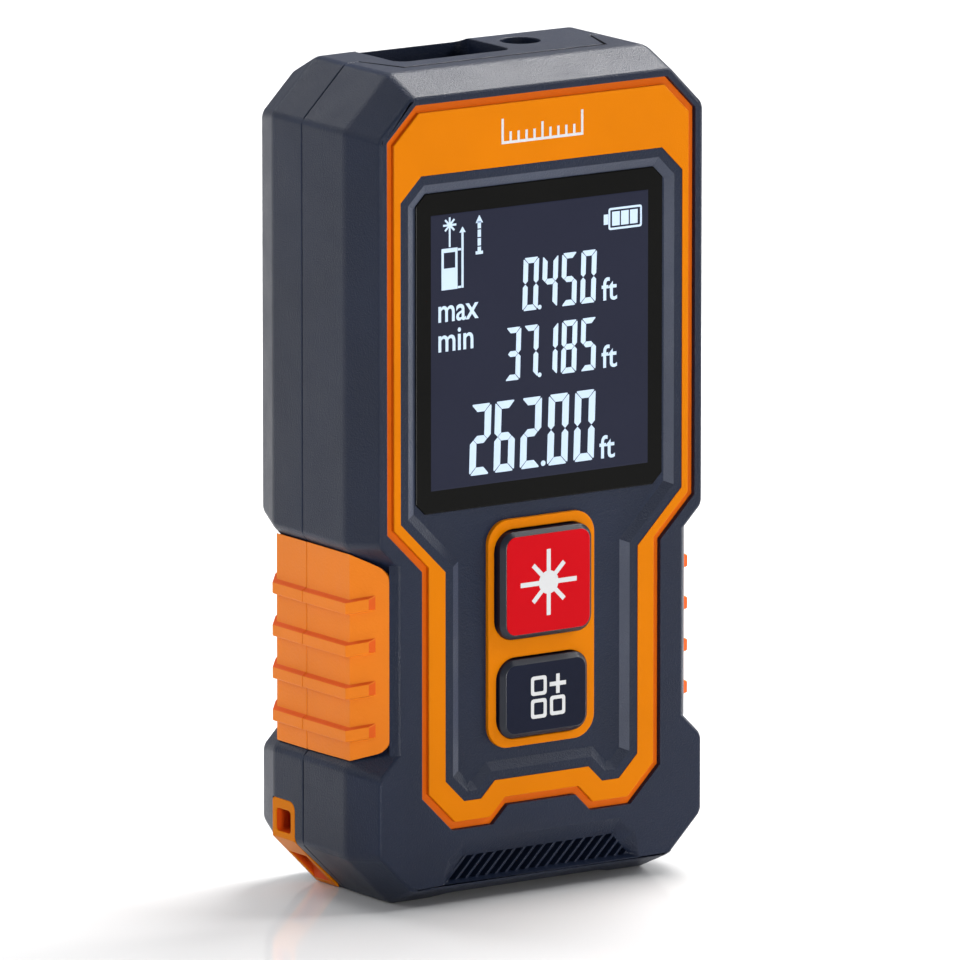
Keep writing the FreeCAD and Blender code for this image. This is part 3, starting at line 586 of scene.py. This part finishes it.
def sideSeam(edge):  # where the two shells meet all round
    return edge.is_convex and creased(edge, 60) and atDepth(edge, case["seam"], 0.07) and all(
        onOutline(v.co) for v in edge.verts)


def tongueSeam(edge):  # and where the rear one reaches forward over the top
    ends = [spot(v) for v in edge.verts]
    onTop = edge.is_convex and creased(edge, 60) and all(isNear(end[2], case["high"], 0.05) for end in ends)
    inner, outer = case["tongueSide"]
    first, last = case["tongue"] - 0.1, case["seam"] + 0.1
    return onTop and (all(isNear(depth, case["tongue"], 0.07) for x, depth, z in ends)
                      or all(inner < x < outer and first < depth < last for x, depth, z in ends))


def inTongueSeam(face):  # the small slopes down into the seam on the top, painted near black as painted shade
    x, depth, z = spotOf(middleOf(face))
    inner, outer = case["tongueSide"][0], case["tongueSide"][1] + 0.1
    onPath = isNear(depth, case["tongue"], 0.2) or (inner < x and case["tongue"] < depth < case["seam"] + 0.1)
    inCut = case["high"] - case["tongueFall"] < z < case["high"] - 0.005
    return x < outer and onPath and inCut and 0.1 < face.normal.z < 0.98


def flatFaces(piece, depth, way):  # select the faces that lie at one depth and look forward or back
    pick(piece, "faces", lambda face: face.normal.y * way > 0.99 and isNear(depthOf(middleOf(face)), depth))


def finishShell(piece, name, cadNode):  # what both shells get after their rims are rounded
    roundOff(piece, sideSeam, case["seamCut"], 1)
    roundOff(piece, tongueSeam, case["tongueCut"], 1)
    closeMesh()
    softenCuts(piece, case["cutRound"])
    smooth(piece)
    settle(piece, name, "navyShell", "body", "case_navy", cadNode)
    # the slopes into the tongue seam get near-black painted shade
    paintFaces(piece, "seamShade", inTongueSeam)


def addFrontShell():
    piece = workingCopy("front_shell")
    flatFaces(piece, 0, -1)
    bpy.ops.mesh.quads_convert_to_tris(quad_method='BEAUTY', ngon_method='BEAUTY')
    roundOff(piece, cornerEdge, case["cornerRound"], 4)
    roundOff(piece, shoulder(case["rings"][1][0]), case["shoulderRound"], 3)
    roundOff(piece, frontRim, case["rimRound"], 3)
    finishShell(piece, "frontShell", "front_shell")


def addRearShell():
    piece = workingCopy("rear_shell")
    flatFaces(piece, case["rings"][-1][0], 1)
    bpy.ops.mesh.inset(thickness=case["backMargin"] * mm, depth=0)
    roundOff(piece, cornerEdge, case["cornerRound"], 4)
    roundOff(piece, shoulder(case["rings"][2][0]), case["shoulderRound"], 3)
    roundOff(piece, backRim, case["rimRound"], 3)
    roundOff(piece, anchorTopEdge(anchor["front"]), anchor["frontRound"], 6)
    roundOff(piece, anchorTopEdge(anchor["pocketBack"]), anchor["backRound"], 4)
    finishShell(piece, "rearShell", "rear_shell")


window = {
    "half": 18.64, "low": 50.05, "high": 90.37, "front": 0.52, "back": 1.4,
    "cornerCut": 1.4, "edge": 0.12,
    "viewHalf": 16.41, "viewLow": 52.90, "viewHigh": 87.56, "viewThick": 0.2,
    "viewProud": 0.01, "viewSlope": 0.12, "viewLift": 0.008,  # it stands a hair above its black border
    "holeGap": 0.03,
}


def addPlate(look, corner, steps):  # a flat plate with round corners and a soft front edge
    piece = addBlock(-look["half"], look["half"], look["front"], look["back"], look["low"], look["high"])
    openMesh(piece)
    roundOff(piece, alongDepth, corner, steps)
    roundOff(piece, lambda edge: atDepth(edge, look["front"]), look["edge"], 2)
    closeMesh()
    smooth(piece)
    return piece


def addDisplayWindow():
    piece = addPlate(window, window["cornerCut"], 1)
    settle(piece, "displayWindow", "lensBlack", "body", "window_black", "display_window")


def addCrystal():  # the lit area
    front, half = window["front"] - window["viewProud"], window["viewHalf"]
    piece = addBlock(-half, half, front, front + window["viewThick"], window["viewLow"], window["viewHigh"])
    openMesh(piece)
    pick(piece, "faces", facing((0, -1, 0)))
    bpy.ops.mesh.inset(thickness=window["viewSlope"] * mm, depth=window["viewLift"] * mm)
    closeMesh()
    settle(piece, "lcdView", "lcdDark", "body", "lcd_glass")


digits = {
    "front": 0.49, "thick": 0.04, "slant": 0.032, "gap": 0.07,
    "small": {"wide": 2.33, "tall": 6.68, "bar": 0.72, "point": 0.29},
    "large": {"wide": 3.10, "tall": 8.95, "bar": 0.98, "point": 0.35},
    "endGap": 1.4, "cornerRound": 0.28, "barPoint": 0.49, "tipRound": 0.30,  # shares of the gap and of a bar
    # left edge of each digit, foot of the row, what it shows, place of the point
    "rows": [
        ("small", 74.15, "0450", (-2.68, 0.24, 3.15, 6.07), (-0.06, 74.42)),
        ("small", 65.60, "37185", (-5.36, -2.68, 0.24, 3.15, 6.07), (-0.06, 65.85)),
        ("large", 54.20, "26200", (-10.70, -7.03, -3.06, 1.06, 5.07), (0.50, 54.60)),
    ],
}
litBars = {  # which bars make each digit
    "0": "top upLeft upRight downLeft downRight foot", "1": "upRight downRight",
    "2": "top upRight middle downLeft foot", "3": "top upRight middle downRight foot",
    "4": "upLeft upRight middle downRight", "5": "top upLeft middle downRight foot",
    "6": "top upLeft middle downLeft downRight foot", "7": "top upRight downRight",
    "8": "top upLeft upRight middle downLeft downRight foot",
}


def cornerAt(height):  # the edges from front to back at one height
    return lambda edge: alongDepth(edge) and isNear(edge.verts[0].co.z / mm, height, 0.01)


def addDigitBar(kind, size):  # one bar of a digit whose lower left corner is at 0, 0
    wide, tall, bar, gap = size["wide"], size["tall"], size["bar"], digits["gap"]
    point = bar * digits["barPoint"]
    near, far = digits["front"], digits["front"] + digits["thick"]
    middle = tall / 2
    if kind in ("top", "foot"):
        low, inset = (tall - bar if kind == "top" else 0), gap * digits["endGap"]
        piece = addBlock(inset, wide - inset, near, far, low, low + bar)
        inner, outer = (low, tall) if kind == "top" else (bar, 0)
        openMesh(piece)
        pick(piece, "verts", lambda vert: isNear(vert.co.z / mm, inner, 0.01))
        bpy.ops.transform.resize(value=((wide - 2 * bar) / wide, 1, 1))
        roundOff(piece, cornerAt(outer), bar * digits["cornerRound"], 2)
    elif kind == "middle":
        piece = addBlock(bar / 2 + gap, wide - bar / 2 - gap, near, far, middle - bar / 2, middle + bar / 2)
        openMesh(piece)
        roundOff(piece, alongDepth, point, 1)
    else:
        left = 0 if "Left" in kind else wide - bar
        low, high = (middle + gap / 2, tall - gap) if "up" in kind else (gap, middle - gap / 2)
        piece = addBlock(left, left + bar, near, far, low, high)
        inside = bar if "Left" in kind else wide - bar
        tip, root = (high, low) if "up" in kind else (low, high)
        openMesh(piece)
        pick(piece, "verts", lambda v: isNear(v.co.z / mm, tip, 0.01) and isNear(v.co.x / mm, inside, 0.01))
        bpy.ops.transform.translate(value=(0, 0, (-bar if "up" in kind else bar) * mm))
        roundOff(piece, cornerAt(root), point, 1)
        roundOff(piece, cornerAt(tip), bar * digits["tipRound"], 2)
    closeMesh()
    return piece


def addDigits():
    kinds = "top foot middle upLeft upRight downLeft downRight".split()
    stock = {(size, kind): addDigitBar(kind, digits[size]) for size in ("small", "large") for kind in kinds}
    shown, near, far = [], digits["front"], digits["front"] + digits["thick"]
    for size, foot, text, lefts, point in digits["rows"]:
        for figure, left in zip(text, lefts):
            for kind in litBars[figure].split():
                copy = stock[size, kind].copy()
                copy.data = copy.data.copy()
                bpy.context.scene.collection.objects.link(copy)
                copy.data.transform(Matrix.Shear('XY', 4, (digits["slant"], 0)))
                copy.location = (left * mm, 0, foot * mm)
                shown.append(copy)
        shown.append(addRod(*point, digits[size]["point"], near, far, 20))
    for bar in stock.values():
        bpy.data.objects.remove(bar)
    settle(joinAll(shown), "displayDigits", "segmentLight", "body", "lcd_glass")


glyphs = {  # small signs on the display, in mm
    "near": 0.49, "far": 0.53, "textSize": 3,
    "cut": 0.2, "sharp": 0.06,  # how far a cutter stands out, and the share that an arrow keeps at its tip
    "words": [
        # word, left, low, wide, tall, how bold
        ("ft", 9.35, 74.15, 2.35, 2.95, 0.035), ("ft", 9.35, 65.62, 2.35, 2.95, 0.035),
        ("ft", 9.05, 54.15, 2.35, 2.95, 0.035), ("max", -15.3, 74.0, 6.05, 2.08, 0.035),
        ("min", -15.3, 70.3, 5.25, 2.85, 0.035),
    ],
    "star": {"x": -13.6, "z": 86.15, "reach": 0.98, "rays": 4, "wide": 0.26, "stem": 83.4},
    "device": {"left": -14.83, "right": -12.43, "low": 78.05, "high": 83.25, "side": 0.34, "head": 0.52,
               "sill": 80.75},
    "rail": {"x": -11.68, "low": 78.1, "high": 85.1, "tip": 85.75, "wide": 0.32, "head": 0.48,
             "topLink": 0.42, "link": 0.28, "gap": 0.05},
    "reach": {"x": -9.16, "low": 82.05, "wide": 0.50, "dashes": 4, "dash": 0.93, "pitch": 1.08, "head": 0.55,
              "tip": 86.95, "headTall": 0.95, "foot": 0.4, "gap": 0.01},
    "cell": {"left": 10.37, "right": 15.45, "low": 83.02, "high": 85.8, "line": 0.27, "round": 0.3,
             "nub": 0.72, "nubGap": 0.04, "nubInset": 0.75,
             "bars": 3, "inset": 0.5, "lead": 0.55, "gap": 0.2},
}


def glyphBlock(left, right, low, high):
    return addBlock(left, right, glyphs["near"], glyphs["far"], low, high)


def addArrowHead(x, low, high, half):  # a block drawn in to a point at its top
    piece = glyphBlock(x - half, x + half, low, high)
    openMesh(piece)
    pick(piece, "verts", lambda vert: isNear(vert.co.z / mm, high, 0.01))
    bpy.ops.transform.resize(value=(glyphs["sharp"], 1, 1))
    closeMesh()
    return piece


def addFrameSign(left, right, low, high, line, corner, near, far):  # a hollow square
    piece = addBlock(left, right, near, far, low, high)
    cut = glyphs["cut"]
    hole = addBlock(left + line, right - line, near - cut, far + cut, low + line, high - line)
    roundCorners(piece, corner, 3)
    roundCorners(hole, corner * 0.4, 2)
    return fuse(piece, hole, 'DIFFERENCE')


def addWord(text, left, low, wide, tall, bold):
    bpy.ops.object.select_all(action='DESELECT')
    bpy.ops.object.text_add(rotation=(pi / 2, 0, 0))
    word = bpy.context.object
    word.data.body = text
    word.data.size = glyphs["textSize"] * mm
    word.data.offset = bold * mm
    word.data.resolution_u = 4
    word.data.extrude = digits["thick"] / 2 * mm
    bpy.ops.object.convert(target='MESH')
    bpy.ops.object.transform_apply()
    word = bpy.context.object
    axes = list(zip(*[vert.co for vert in word.data.vertices]))
    lows, highs = Vector([min(axis) for axis in axes]), Vector([max(axis) for axis in axes])
    only(word)
    bpy.ops.transform.resize(value=(wide * mm / (highs.x - lows.x), 1, tall * mm / (highs.z - lows.z)),
                             center_override=(lows.x, lows.y, lows.z))
    bpy.ops.transform.translate(value=(left * mm - lows.x, at(glyphs["near"]) - lows.y, low * mm - lows.z))
    bpy.ops.object.transform_apply()
    return word


def addBurst(star):  # the beam: a star on a stem
    left, right = star["x"] - star["wide"] / 2, star["x"] + star["wide"] / 2
    burst = glyphBlock(left, right, star["stem"], star["z"] + star["reach"])
    for ray in range(1, star["rays"]):
        bar = glyphBlock(left, right, star["z"] - star["reach"], star["z"] + star["reach"])
        fuse(burst, turned(bar, 180 / star["rays"] * ray, star["x"], star["z"]))
    return burst


def addDevice(device):  # the meter itself, with its screen
    body = glyphBlock(device["left"], device["right"], device["low"], device["high"])
    pane = addBlock(device["left"] + device["side"], device["right"] - device["side"],
                    glyphs["near"] - glyphs["cut"], glyphs["far"] + glyphs["cut"],
                    device["sill"], device["high"] - device["head"])
    return fuse(body, pane, 'DIFFERENCE')


def addRail(rail, device):  # an arrow beside it, joined at its foot and its top
    half, gap = rail["wide"] / 2, rail["gap"]
    signs = [glyphBlock(rail["x"] - half, rail["x"] + half, rail["low"], rail["high"]),
             addArrowHead(rail["x"], rail["high"] - gap, rail["tip"], rail["head"])]
    for low in (rail["low"], device["high"] - rail["topLink"]):
        signs.append(glyphBlock(device["right"] + gap, rail["x"] - half - gap, low, low + rail["link"]))
    return signs


def addReach(reach):  # a dashed arrow on a foot
    x, half, low, foot = reach["x"], reach["wide"] / 2, reach["low"], reach["low"] + reach["foot"]
    starts = [low + dash * reach["pitch"] for dash in range(reach["dashes"])]
    signs = [glyphBlock(x - half, x + half, start, start + reach["dash"]) for start in starts]
    signs.append(glyphBlock(x - reach["head"], x - half - reach["gap"], low, foot))
    signs.append(glyphBlock(x + half + reach["gap"], x + reach["head"], low, foot))
    signs.append(addArrowHead(x, reach["tip"] - reach["headTall"], reach["tip"], reach["head"]))
    return signs


def addCell(cell):  # how full the cells are
    left, right, low, high = cell["left"], cell["right"], cell["low"], cell["high"]
    rim, inset = cell["nubInset"], cell["inset"]
    signs = [addFrameSign(left, right, low, high, cell["line"], cell["round"], glyphs["near"], glyphs["far"]),
             glyphBlock(left - cell["nub"], left - cell["nubGap"], low + rim, high - rim)]
    step = (right - left - 2 * inset) / cell["bars"]
    for bar in range(cell["bars"]):
        start = left + cell["lead"] + bar * step
        signs.append(glyphBlock(start, start + step - cell["gap"], low + inset, high - inset))
    return signs


def addDisplaySigns():
    signs = [addWord(*word) for word in glyphs["words"]]
    signs += [addBurst(glyphs["star"]), addDevice(glyphs["device"])]
    signs += addRail(glyphs["rail"], glyphs["device"]) + addReach(glyphs["reach"]) + addCell(glyphs["cell"])
    settle(joinAll(signs), "displaySigns", "segmentLight", "body", "lcd_glass")


trim = {
    # corners of the right half, from the top down
    "corners": [(18.95, 101.7), (23.27, 97.4), (23.27, 48.2), (18.07, 43.0),
                (18.07, 14.2), (13.52, 9.65), (7.43, 9.65), (5.16, 11.92)],
    "front": 0.0, "back": 1.4, "ledgeDepth": 0.62, "ledgeWide": 1.0, "edge": 0.12, "cut": 1,
}
panel = {
    "corners": [(18.2, 92.8), (21.3, 89.7), (21.3, 49.3), (14.6, 42.6),
                (14.6, 16.0), (11.77, 13.17), (9.2, 13.17), (7.12, 15.25)],
    "front": 0.05, "back": 1.4, "rimWide": 1.15, "slopeWide": 1.24, "slopeDrop": 0.62, "edge": 0.06, "cut": 1,
}
frameHole = {"half": 8.07, "low": 19.1, "high": 48.12, "round": 3.0}


def addBezelTrim():
    piece = addOutline(bothHands(trim["corners"]), trim["back"])
    pull(trim["back"] - trim["ledgeDepth"])
    makeSolid()
    flatFaces(piece, trim["ledgeDepth"], -1)
    bpy.ops.mesh.inset(thickness=trim["ledgeWide"] * mm, depth=0)
    pull(trim["ledgeDepth"] - trim["front"])
    makeSolid()
    roundOff(piece, lambda edge: atDepth(edge, trim["front"]) or (atDepth(edge, trim["ledgeDepth"])
             and creased(edge) and edge.is_convex), trim["edge"], 2)
    closeMesh()
    fuse(piece, addPrism(bothHands(panel["corners"]), -trim["cut"], trim["back"] + trim["cut"]), 'DIFFERENCE')
    smooth(piece)
    settle(piece, "bezelTrim", "orangeTrim", "body", "trim_orange", "bezel_trim")
    # the ledge gets a darker, redder painted shade
    paintFaces(piece, "orangeLedgePaintedShade", lambda face: depthOf(middleOf(face)) > trim["edge"] + 0.02)


def addFacePanel():
    piece = addOutline(bothHands(panel["corners"]), panel["back"])
    pull(panel["back"] - panel["front"])
    makeSolid()
    flatFaces(piece, panel["front"], -1)
    bpy.ops.mesh.inset(thickness=panel["rimWide"] * mm, depth=0)
    bpy.ops.mesh.inset(thickness=panel["slopeWide"] * mm, depth=-panel["slopeDrop"] * mm)
    floor = panel["front"] + panel["slopeDrop"]
    roundOff(piece, lambda edge: (atDepth(edge, panel["front"]) or atDepth(edge, floor)) and creased(edge),
             panel["edge"], 3)
    closeMesh()
    gap, near, far = window["holeGap"], -panel["cut"], panel["back"] + panel["cut"]
    side = window["half"] + gap
    lensHole = addBlock(-side, side, near, far, window["low"] - gap, window["high"] + gap)
    fuse(piece, roundCorners(lensHole, window["cornerCut"], 1), 'DIFFERENCE')
    keyHole = addBlock(-frameHole["half"], frameHole["half"], near, far, frameHole["low"], frameHole["high"])
    fuse(piece, roundCorners(keyHole, frameHole["round"], 8), 'DIFFERENCE')
    smooth(piece)
    settle(piece, "facePanel", "navyShell", "body", "case_navy", "face_panel")
    # the slopes that do not face up get painted light
    paintFaces(piece, "panelSlope", lambda face: 0.3 < -face.normal.y < 0.97 and face.normal.z < 0.2
               and panel["front"] + 0.05 < depthOf(middleOf(face)) < floor)


grip = {
    # distance from the middle, depth and height of each outer corner at the upper end
    "nose": (22.4, 1.0, 43.5), "bend": (25.25, 5.5, 45.2), "seam": (25.4, 14.78, 45.3),
    "tailBend": (25.4, 21.5, 45.3), "tail": (22.9, 24.0, 44.3),
    "noseInner": (21.65, 1.0, 43.0), "inner": (23.0, 5.5, 43.05), "tailInner": (22.0, 24.0, 43.5),
    "middle": 32.05,  # the lower end mirrors the upper one here
    "noseRound": 1.3,
    "ribLow": 37.6, "ribPitch": -5.4, "ribs": 4, "ribFlat": 1.45, "ribSlope": 0.75, "ribProud": 0.66,
    "ribEnd": (23.2, 2.3), "ribTail": (23.9, 23.0), "ribRoot": 1.4, "ribLift": 0.8,
    "ribLean": 0.16, "ribPinch": 0.2,  # how the outer corners of a rib's end are set back and drawn out
    "seamGap": 0.04, "noseRange": 1.2, "edge": 0.13, "edgeAngle": 28,
    # where the slopes and the ends of the ribs are, which get painted shade
    "shadeLow": 20.1, "shadeHigh": 41.2, "shadeDepth": 4.5, "shadeSide": 22.7,
}


def nudge(piece, wanted, x=0.0, depth=0.0, z=0.0):  # move the corners that pass a test
    pick(piece, "verts", wanted)
    bpy.ops.transform.translate(value=(x * mm, depth * mm, z * mm))


def seamStart(front):  # the depth where the front or the rear grip starts
    return grip["seam"][1] + (0 if front else grip["seamGap"])


def addGripBody(hand, front):
    names = ("bend", "nose", "noseInner") if front else ("tailBend", "tail", "tailInner")
    turn, end, endInner = [grip[name] for name in names]
    seam, inner, middle, start = grip["seam"], grip["inner"], grip["middle"], seamStart(front)
    low = 2 * middle - inner[2]
    sides = sorted((inner[0] * hand, seam[0] * hand))
    piece = addBlock(*sides, min(start, turn[1]), max(start, turn[1]), low, inner[2])
    openMesh(piece)
    pick(piece, "faces", facing((0, -1 if front else 1, 0)))
    pull(turn[1] - end[1])
    moves = [(seam[0], start, seam), (seam[0], turn[1], turn),
             (seam[0], end[1], end), (inner[0], end[1], endInner)]
    for up in (1, -1):
        for distance, depth, goal in moves:  # each corner of the block, from its place to its goal
            nudge(piece, lambda v: (isNear(spot(v)[0], distance) and isNear(spot(v)[1], depth)
                                    and (spot(v)[2] > middle) == (up > 0)),
                  x=(goal[0] - distance) * hand, z=up * (goal[2] - inner[2]))
    roundOff(piece, lambda e: all(isNear(depthOf(v.co), end[1]) for v in e.verts)
             and abs(e.verts[0].co.z - e.verts[1].co.z) < grip["noseRange"] * mm, grip["noseRound"], 5)
    closeMesh()
    return piece


def addRib(hand, front, low):  # a raised bar that sweeps up a little at its end
    turn, (far, farDepth) = (grip["bend"], grip["ribEnd"]) if front else (grip["tailBend"], grip["ribTail"])
    proud, top = grip["seam"][0] + grip["ribProud"], low + grip["ribFlat"] + grip["ribSlope"]
    start = seamStart(front)
    sides = sorted(((proud - grip["ribRoot"]) * hand, proud * hand))
    rib = addBlock(*sides, min(start, turn[1]), max(start, turn[1]), low, top)
    openMesh(rib)
    nudge(rib, lambda v: isNear(spot(v)[0], proud) and isNear(spot(v)[2], top), z=-grip["ribSlope"])
    pick(rib, "faces", facing((0, -1 if front else 1, 0)))
    pull(turn[1] - farDepth, (far - turn[0]) * hand, grip["ribLift"])
    nudge(rib, lambda v: isNear(spot(v)[1], farDepth) and spot(v)[0] > far,
          depth=(turn[1] - farDepth) * grip["ribLean"], x=grip["ribPinch"] * hand)
    nudge(rib, lambda v: isNear(spot(v)[1], turn[1]), x=(turn[0] - grip["seam"][0]) * hand)
    closeMesh()
    return rib


def ribShade(face):  # the upper slopes and the ends of the ribs, which get painted shade
    (x, depth, z), way = spotOf(middleOf(face)), face.normal
    onEnd = way.y < -0.85 and depth < grip["shadeDepth"] and x > grip["shadeSide"]
    return grip["shadeLow"] < z < grip["shadeHigh"] and (way.z > 0.35 or onEnd)


def addGrip(hand, front):
    piece = addGripBody(hand, front)
    for step in range(grip["ribs"]):
        fuse(piece, addRib(hand, front, grip["ribLow"] + step * grip["ribPitch"]))
    softenCuts(piece, grip["edge"], 2, grip["edgeAngle"])
    smooth(piece)
    place = ("Front" if front else "Rear") + ("Right" if hand > 0 else "Left")
    settle(piece, "grip" + place, "rubberGrip", "body", "grip_orange",
           f"grip_{'front' if front else 'rear'}_{'right' if hand > 0 else 'left'}")
    # the upper slopes and the ends of the ribs get painted shade
    paintFaces(piece, "rubberPaintedShade", ribShade)


softened = {
    # piece: (CAD node, finish, body, slot, width of the rounding)
    "keypadFrame": ("keypad_frame", "orangeTrim", "body", "trim_orange", 0.12),
    "batteryDoor": ("battery_door", "navyShell", "door", "case_navy", 0.18),
    "rearLabel": ("rear_label", "labelSilver", "body", "label_film", 0.04),
    "caseScrews": ("case_screws", "screwSteel", "body", "screw_steel", 0.12),
}
anchor = {
    "front": 16.7, "back": 21.7, "high": 11.7,
    "corners": [(-26.0, 11.7), (-26.0, 6.7), (-19.3, 0.0), (-19.3, 1.0), (-20.3, 5.0), (-21.3, 11.7)],
    "frontRound": 1.2, "backRound": 0.5, "pocketBack": 21.8,
    "window": (-27.0, -23.6, 17.65, 20.85, 7.5, 10.4),  # sides, depths and heights
    "windowRound": 0.5,
    # the way of the strap, behind the bar and out at the corner
    "passage": [(-24.3, 10.3), (-23.9, 7.6), (-23.0, 5.2), (-25.2, 2.8),
                (-19.7, -0.4), (-20.4, 2.0), (-21.4, 4.4), (-22.2, 10.3)],
    "passageDepth": (17.5, 21.1),
    "edge": 0.12, "wall": 0.25,
}


def anchorTopEdge(depth):  # an upper corner of the anchor, across the wall
    def test(edge):
        way = edge.verts[1].co - edge.verts[0].co
        return (abs(way.x) > 0.9 * way.length and atDepth(edge, depth)
                and all(isNear(v.co.z / mm, anchor["high"]) and v.co.x < 0 for v in edge.verts))
    return test


def acrossCase(edge):
    way = edge.verts[1].co - edge.verts[0].co
    return abs(way.x) > 0.98 * way.length


def addAnchor():
    piece = addPrism(anchor["corners"], anchor["front"], anchor["back"])
    openMesh(piece)
    roundOff(piece, anchorTopEdge(anchor["front"]), anchor["frontRound"], 6)
    roundOff(piece, anchorTopEdge(anchor["back"]), anchor["backRound"], 4)
    closeMesh()
    fuse(piece, addPrism(anchor["passage"], *anchor["passageDepth"]), 'DIFFERENCE')
    hole = addBlock(*anchor["window"])
    fuse(piece, roundCorners(hole, anchor["windowRound"], 4, acrossCase), 'DIFFERENCE')
    softenCuts(piece, anchor["edge"])
    smooth(piece)
    settle(piece, "lanyardAnchor", "orangeTrim", "body", "anchor_orange", "lanyard_anchor")
    # the walls of the window and the passage get painted shade
    paintFaces(piece, "anchorPaintedShade", inAnchor)


def inAnchor(face):  # the walls of the window and of the passage, which get painted shade
    x, depth, z = spotOf(middleOf(face))
    slope = (x - case["footHalf"] - z) / 2 ** 0.5  # how far inside the corner of the case
    wall = anchor["wall"]
    return (x < case["half"] - wall and slope < -wall and 0.2 < z < anchor["high"] - 0.3
            and anchor["front"] + wall < depth < anchor["back"] - wall)


def addSoftened():
    for pieceName, (nodeName, finishName, body, slot, width) in softened.items():
        piece = workingCopy(nodeName)
        closeMesh()
        softenCuts(piece, width)
        smooth(piece)
        settle(piece, pieceName, finishName, body, slot, nodeName)


addFrontShell()
addRearShell()
print("case shells")
addBezelTrim()
addFacePanel()
for hand in (-1, 1):
    for front in (True, False):
        addGrip(hand, front)
addAnchor()
addSoftened()
print("trim, panel, grips, anchor and door")


keys = {
    "measure": {"half": 6.95, "low": 33.0, "high": 46.65, "shoulder": -0.76, "ease": 0.60, "drop": 0.60},
    "function": {"half": 6.65, "low": 20.35, "high": 30.3, "shoulder": -0.30, "ease": 0.62, "drop": 0.60},
    "round": 2.0, "edge": 0.08, "flangeFront": 2.6, "flangeBack": 3.3, "flangeLip": 0.8,
    "ink": 0.05, "inkProud": 0.02,  # how far a printed mark reaches into its key, and out of it
    "face": {"half": 6.30, "low": 33.65, "high": 46.1, "front": -1.445, "back": -1.0, "round": 1.4,
             "edge": 0.08},
    "starMark": {"x": 0.0, "z": 39.9, "wide": 0.60, "upright": 4.2, "level": 4.25, "slanted": 3.32,
                 "hub": 1.48, "hubProud": 0.014, "proud": 0.006, "step": 0.0012},
    # the step makes each ray a hair prouder than the last, so that no two lie in one plane
    "squares": [(-2.30, 25.52, 0.08, 27.98), (-2.30, 22.60, 0.08, 25.08), (0.58, 22.72, 2.90, 25.20)],
    "squareLine": 0.46, "squareRound": 0.38,
    "plus": {"x": 1.78, "z": 26.72, "half": 1.24, "line": 0.54},
}


def addKey(look, name, body, cadNode):
    half, lip, thick = look["half"], keys["flangeLip"], keys["flangeBack"] - keys["flangeFront"]
    piece = addBlock(-half, half, look["shoulder"], keys["flangeFront"], look["low"], look["high"])
    openMesh(piece)
    roundOff(piece, alongDepth, keys["round"], 8)
    pick(piece, "faces", facing((0, -1, 0)))
    bpy.ops.mesh.inset(thickness=look["ease"] * mm, depth=look["drop"] * mm)
    crown = look["shoulder"] - look["drop"]
    roundOff(piece, lambda edge: atDepth(edge, crown) or atDepth(edge, look["shoulder"]), keys["edge"], 3)
    pick(piece, "faces", facing((0, 1, 0)))
    tall = look["high"] - look["low"]
    pull(0)
    bpy.ops.transform.resize(value=((half + lip) / half, 1, (tall + lip) / tall))
    pull(-thick)
    closeMesh()
    smooth(piece)
    settle(piece, name, "keyNavy", body, "key_navy", cadNode)
    paintFaces(piece, "keyEdge", lambda face: 0.2 < -face.normal.y < 0.95)


def addMeasureFace():
    piece = addPlate(keys["face"], keys["face"]["round"], 8)
    settle(piece, "measureFace", "keyRed", "measure_key", "key_red", "measure_button_face")


def addStarMark():  # printed rays on the red key
    mark, front = keys["starMark"], keys["face"]["front"]
    far, half = front + keys["ink"], mark["wide"] / 2
    star = addRod(mark["x"], mark["z"], mark["hub"], front - mark["hubProud"], far, 40)
    reaches = (mark["upright"], mark["slanted"], mark["level"], mark["slanted"])
    for turn, reach in enumerate(reaches):
        ray = addBlock(mark["x"] - half, mark["x"] + half, front - mark["proud"] - mark["step"] * turn, far,
                       mark["z"] - reach, mark["z"] + reach)
        fuse(star, turned(ray, 45 * turn, mark["x"], mark["z"]))
    settle(star, "measureStar", "printWhite", "measure_key", "key_red")


def addFunctionMark():  # three squares and a plus on the lower key
    crown = keys["function"]["shoulder"] - keys["function"]["drop"]
    near, far = crown - keys["inkProud"], crown + keys["ink"]
    marks = [addFrameSign(left, right, low, high, keys["squareLine"], keys["squareRound"], near, far)
             for left, low, right, high in keys["squares"]]
    plus = keys["plus"]
    half, line = plus["half"], plus["line"] / 2
    cross = addBlock(plus["x"] - half, plus["x"] + half, near, far, plus["z"] - line, plus["z"] + line)
    upright = addBlock(plus["x"] - line, plus["x"] + line, near, far, plus["z"] - half, plus["z"] + half)
    marks.append(fuse(cross, upright))
    settle(joinAll(marks), "functionSquares", "printWhite", "function_key", "key_navy")


scaleMark = {  # a plain measuring scale printed on the trim, above the display
    "left": -6.0, "step": 1.2, "ticks": 11, "low": 95.6, "line": 0.34,
    "short": 1.5, "middle": 2.3, "long": 3.2, "near": -0.02, "far": 0.05,
}


def addScaleMark():
    mark, half, low = scaleMark, scaleMark["line"] / 2, scaleMark["low"]
    right = mark["left"] + mark["step"] * (mark["ticks"] - 1)
    rule = addBlock(mark["left"] - half, right + half, mark["near"], mark["far"], low, low + mark["line"])
    for tick in range(mark["ticks"]):
        tall = mark["long"] if tick % 10 == 0 else mark["middle"] if tick % 5 == 0 else mark["short"]
        x = mark["left"] + tick * mark["step"]
        fuse(rule, addBlock(x - half, x + half, mark["near"], mark["far"], low, low + tall))
    settle(rule, "trimScale", "printWhite", "body", "trim_orange")


addDisplayWindow()
addCrystal()
addDigits()
addDisplaySigns()
print("display")
addKey(keys["measure"], "measureButton", "measure_key", "measure_button")
addMeasureFace()
addStarMark()
addKey(keys["function"], "functionButton", "function_key", "function_button")
addFunctionMark()
addScaleMark()
print("keys and printed marks")
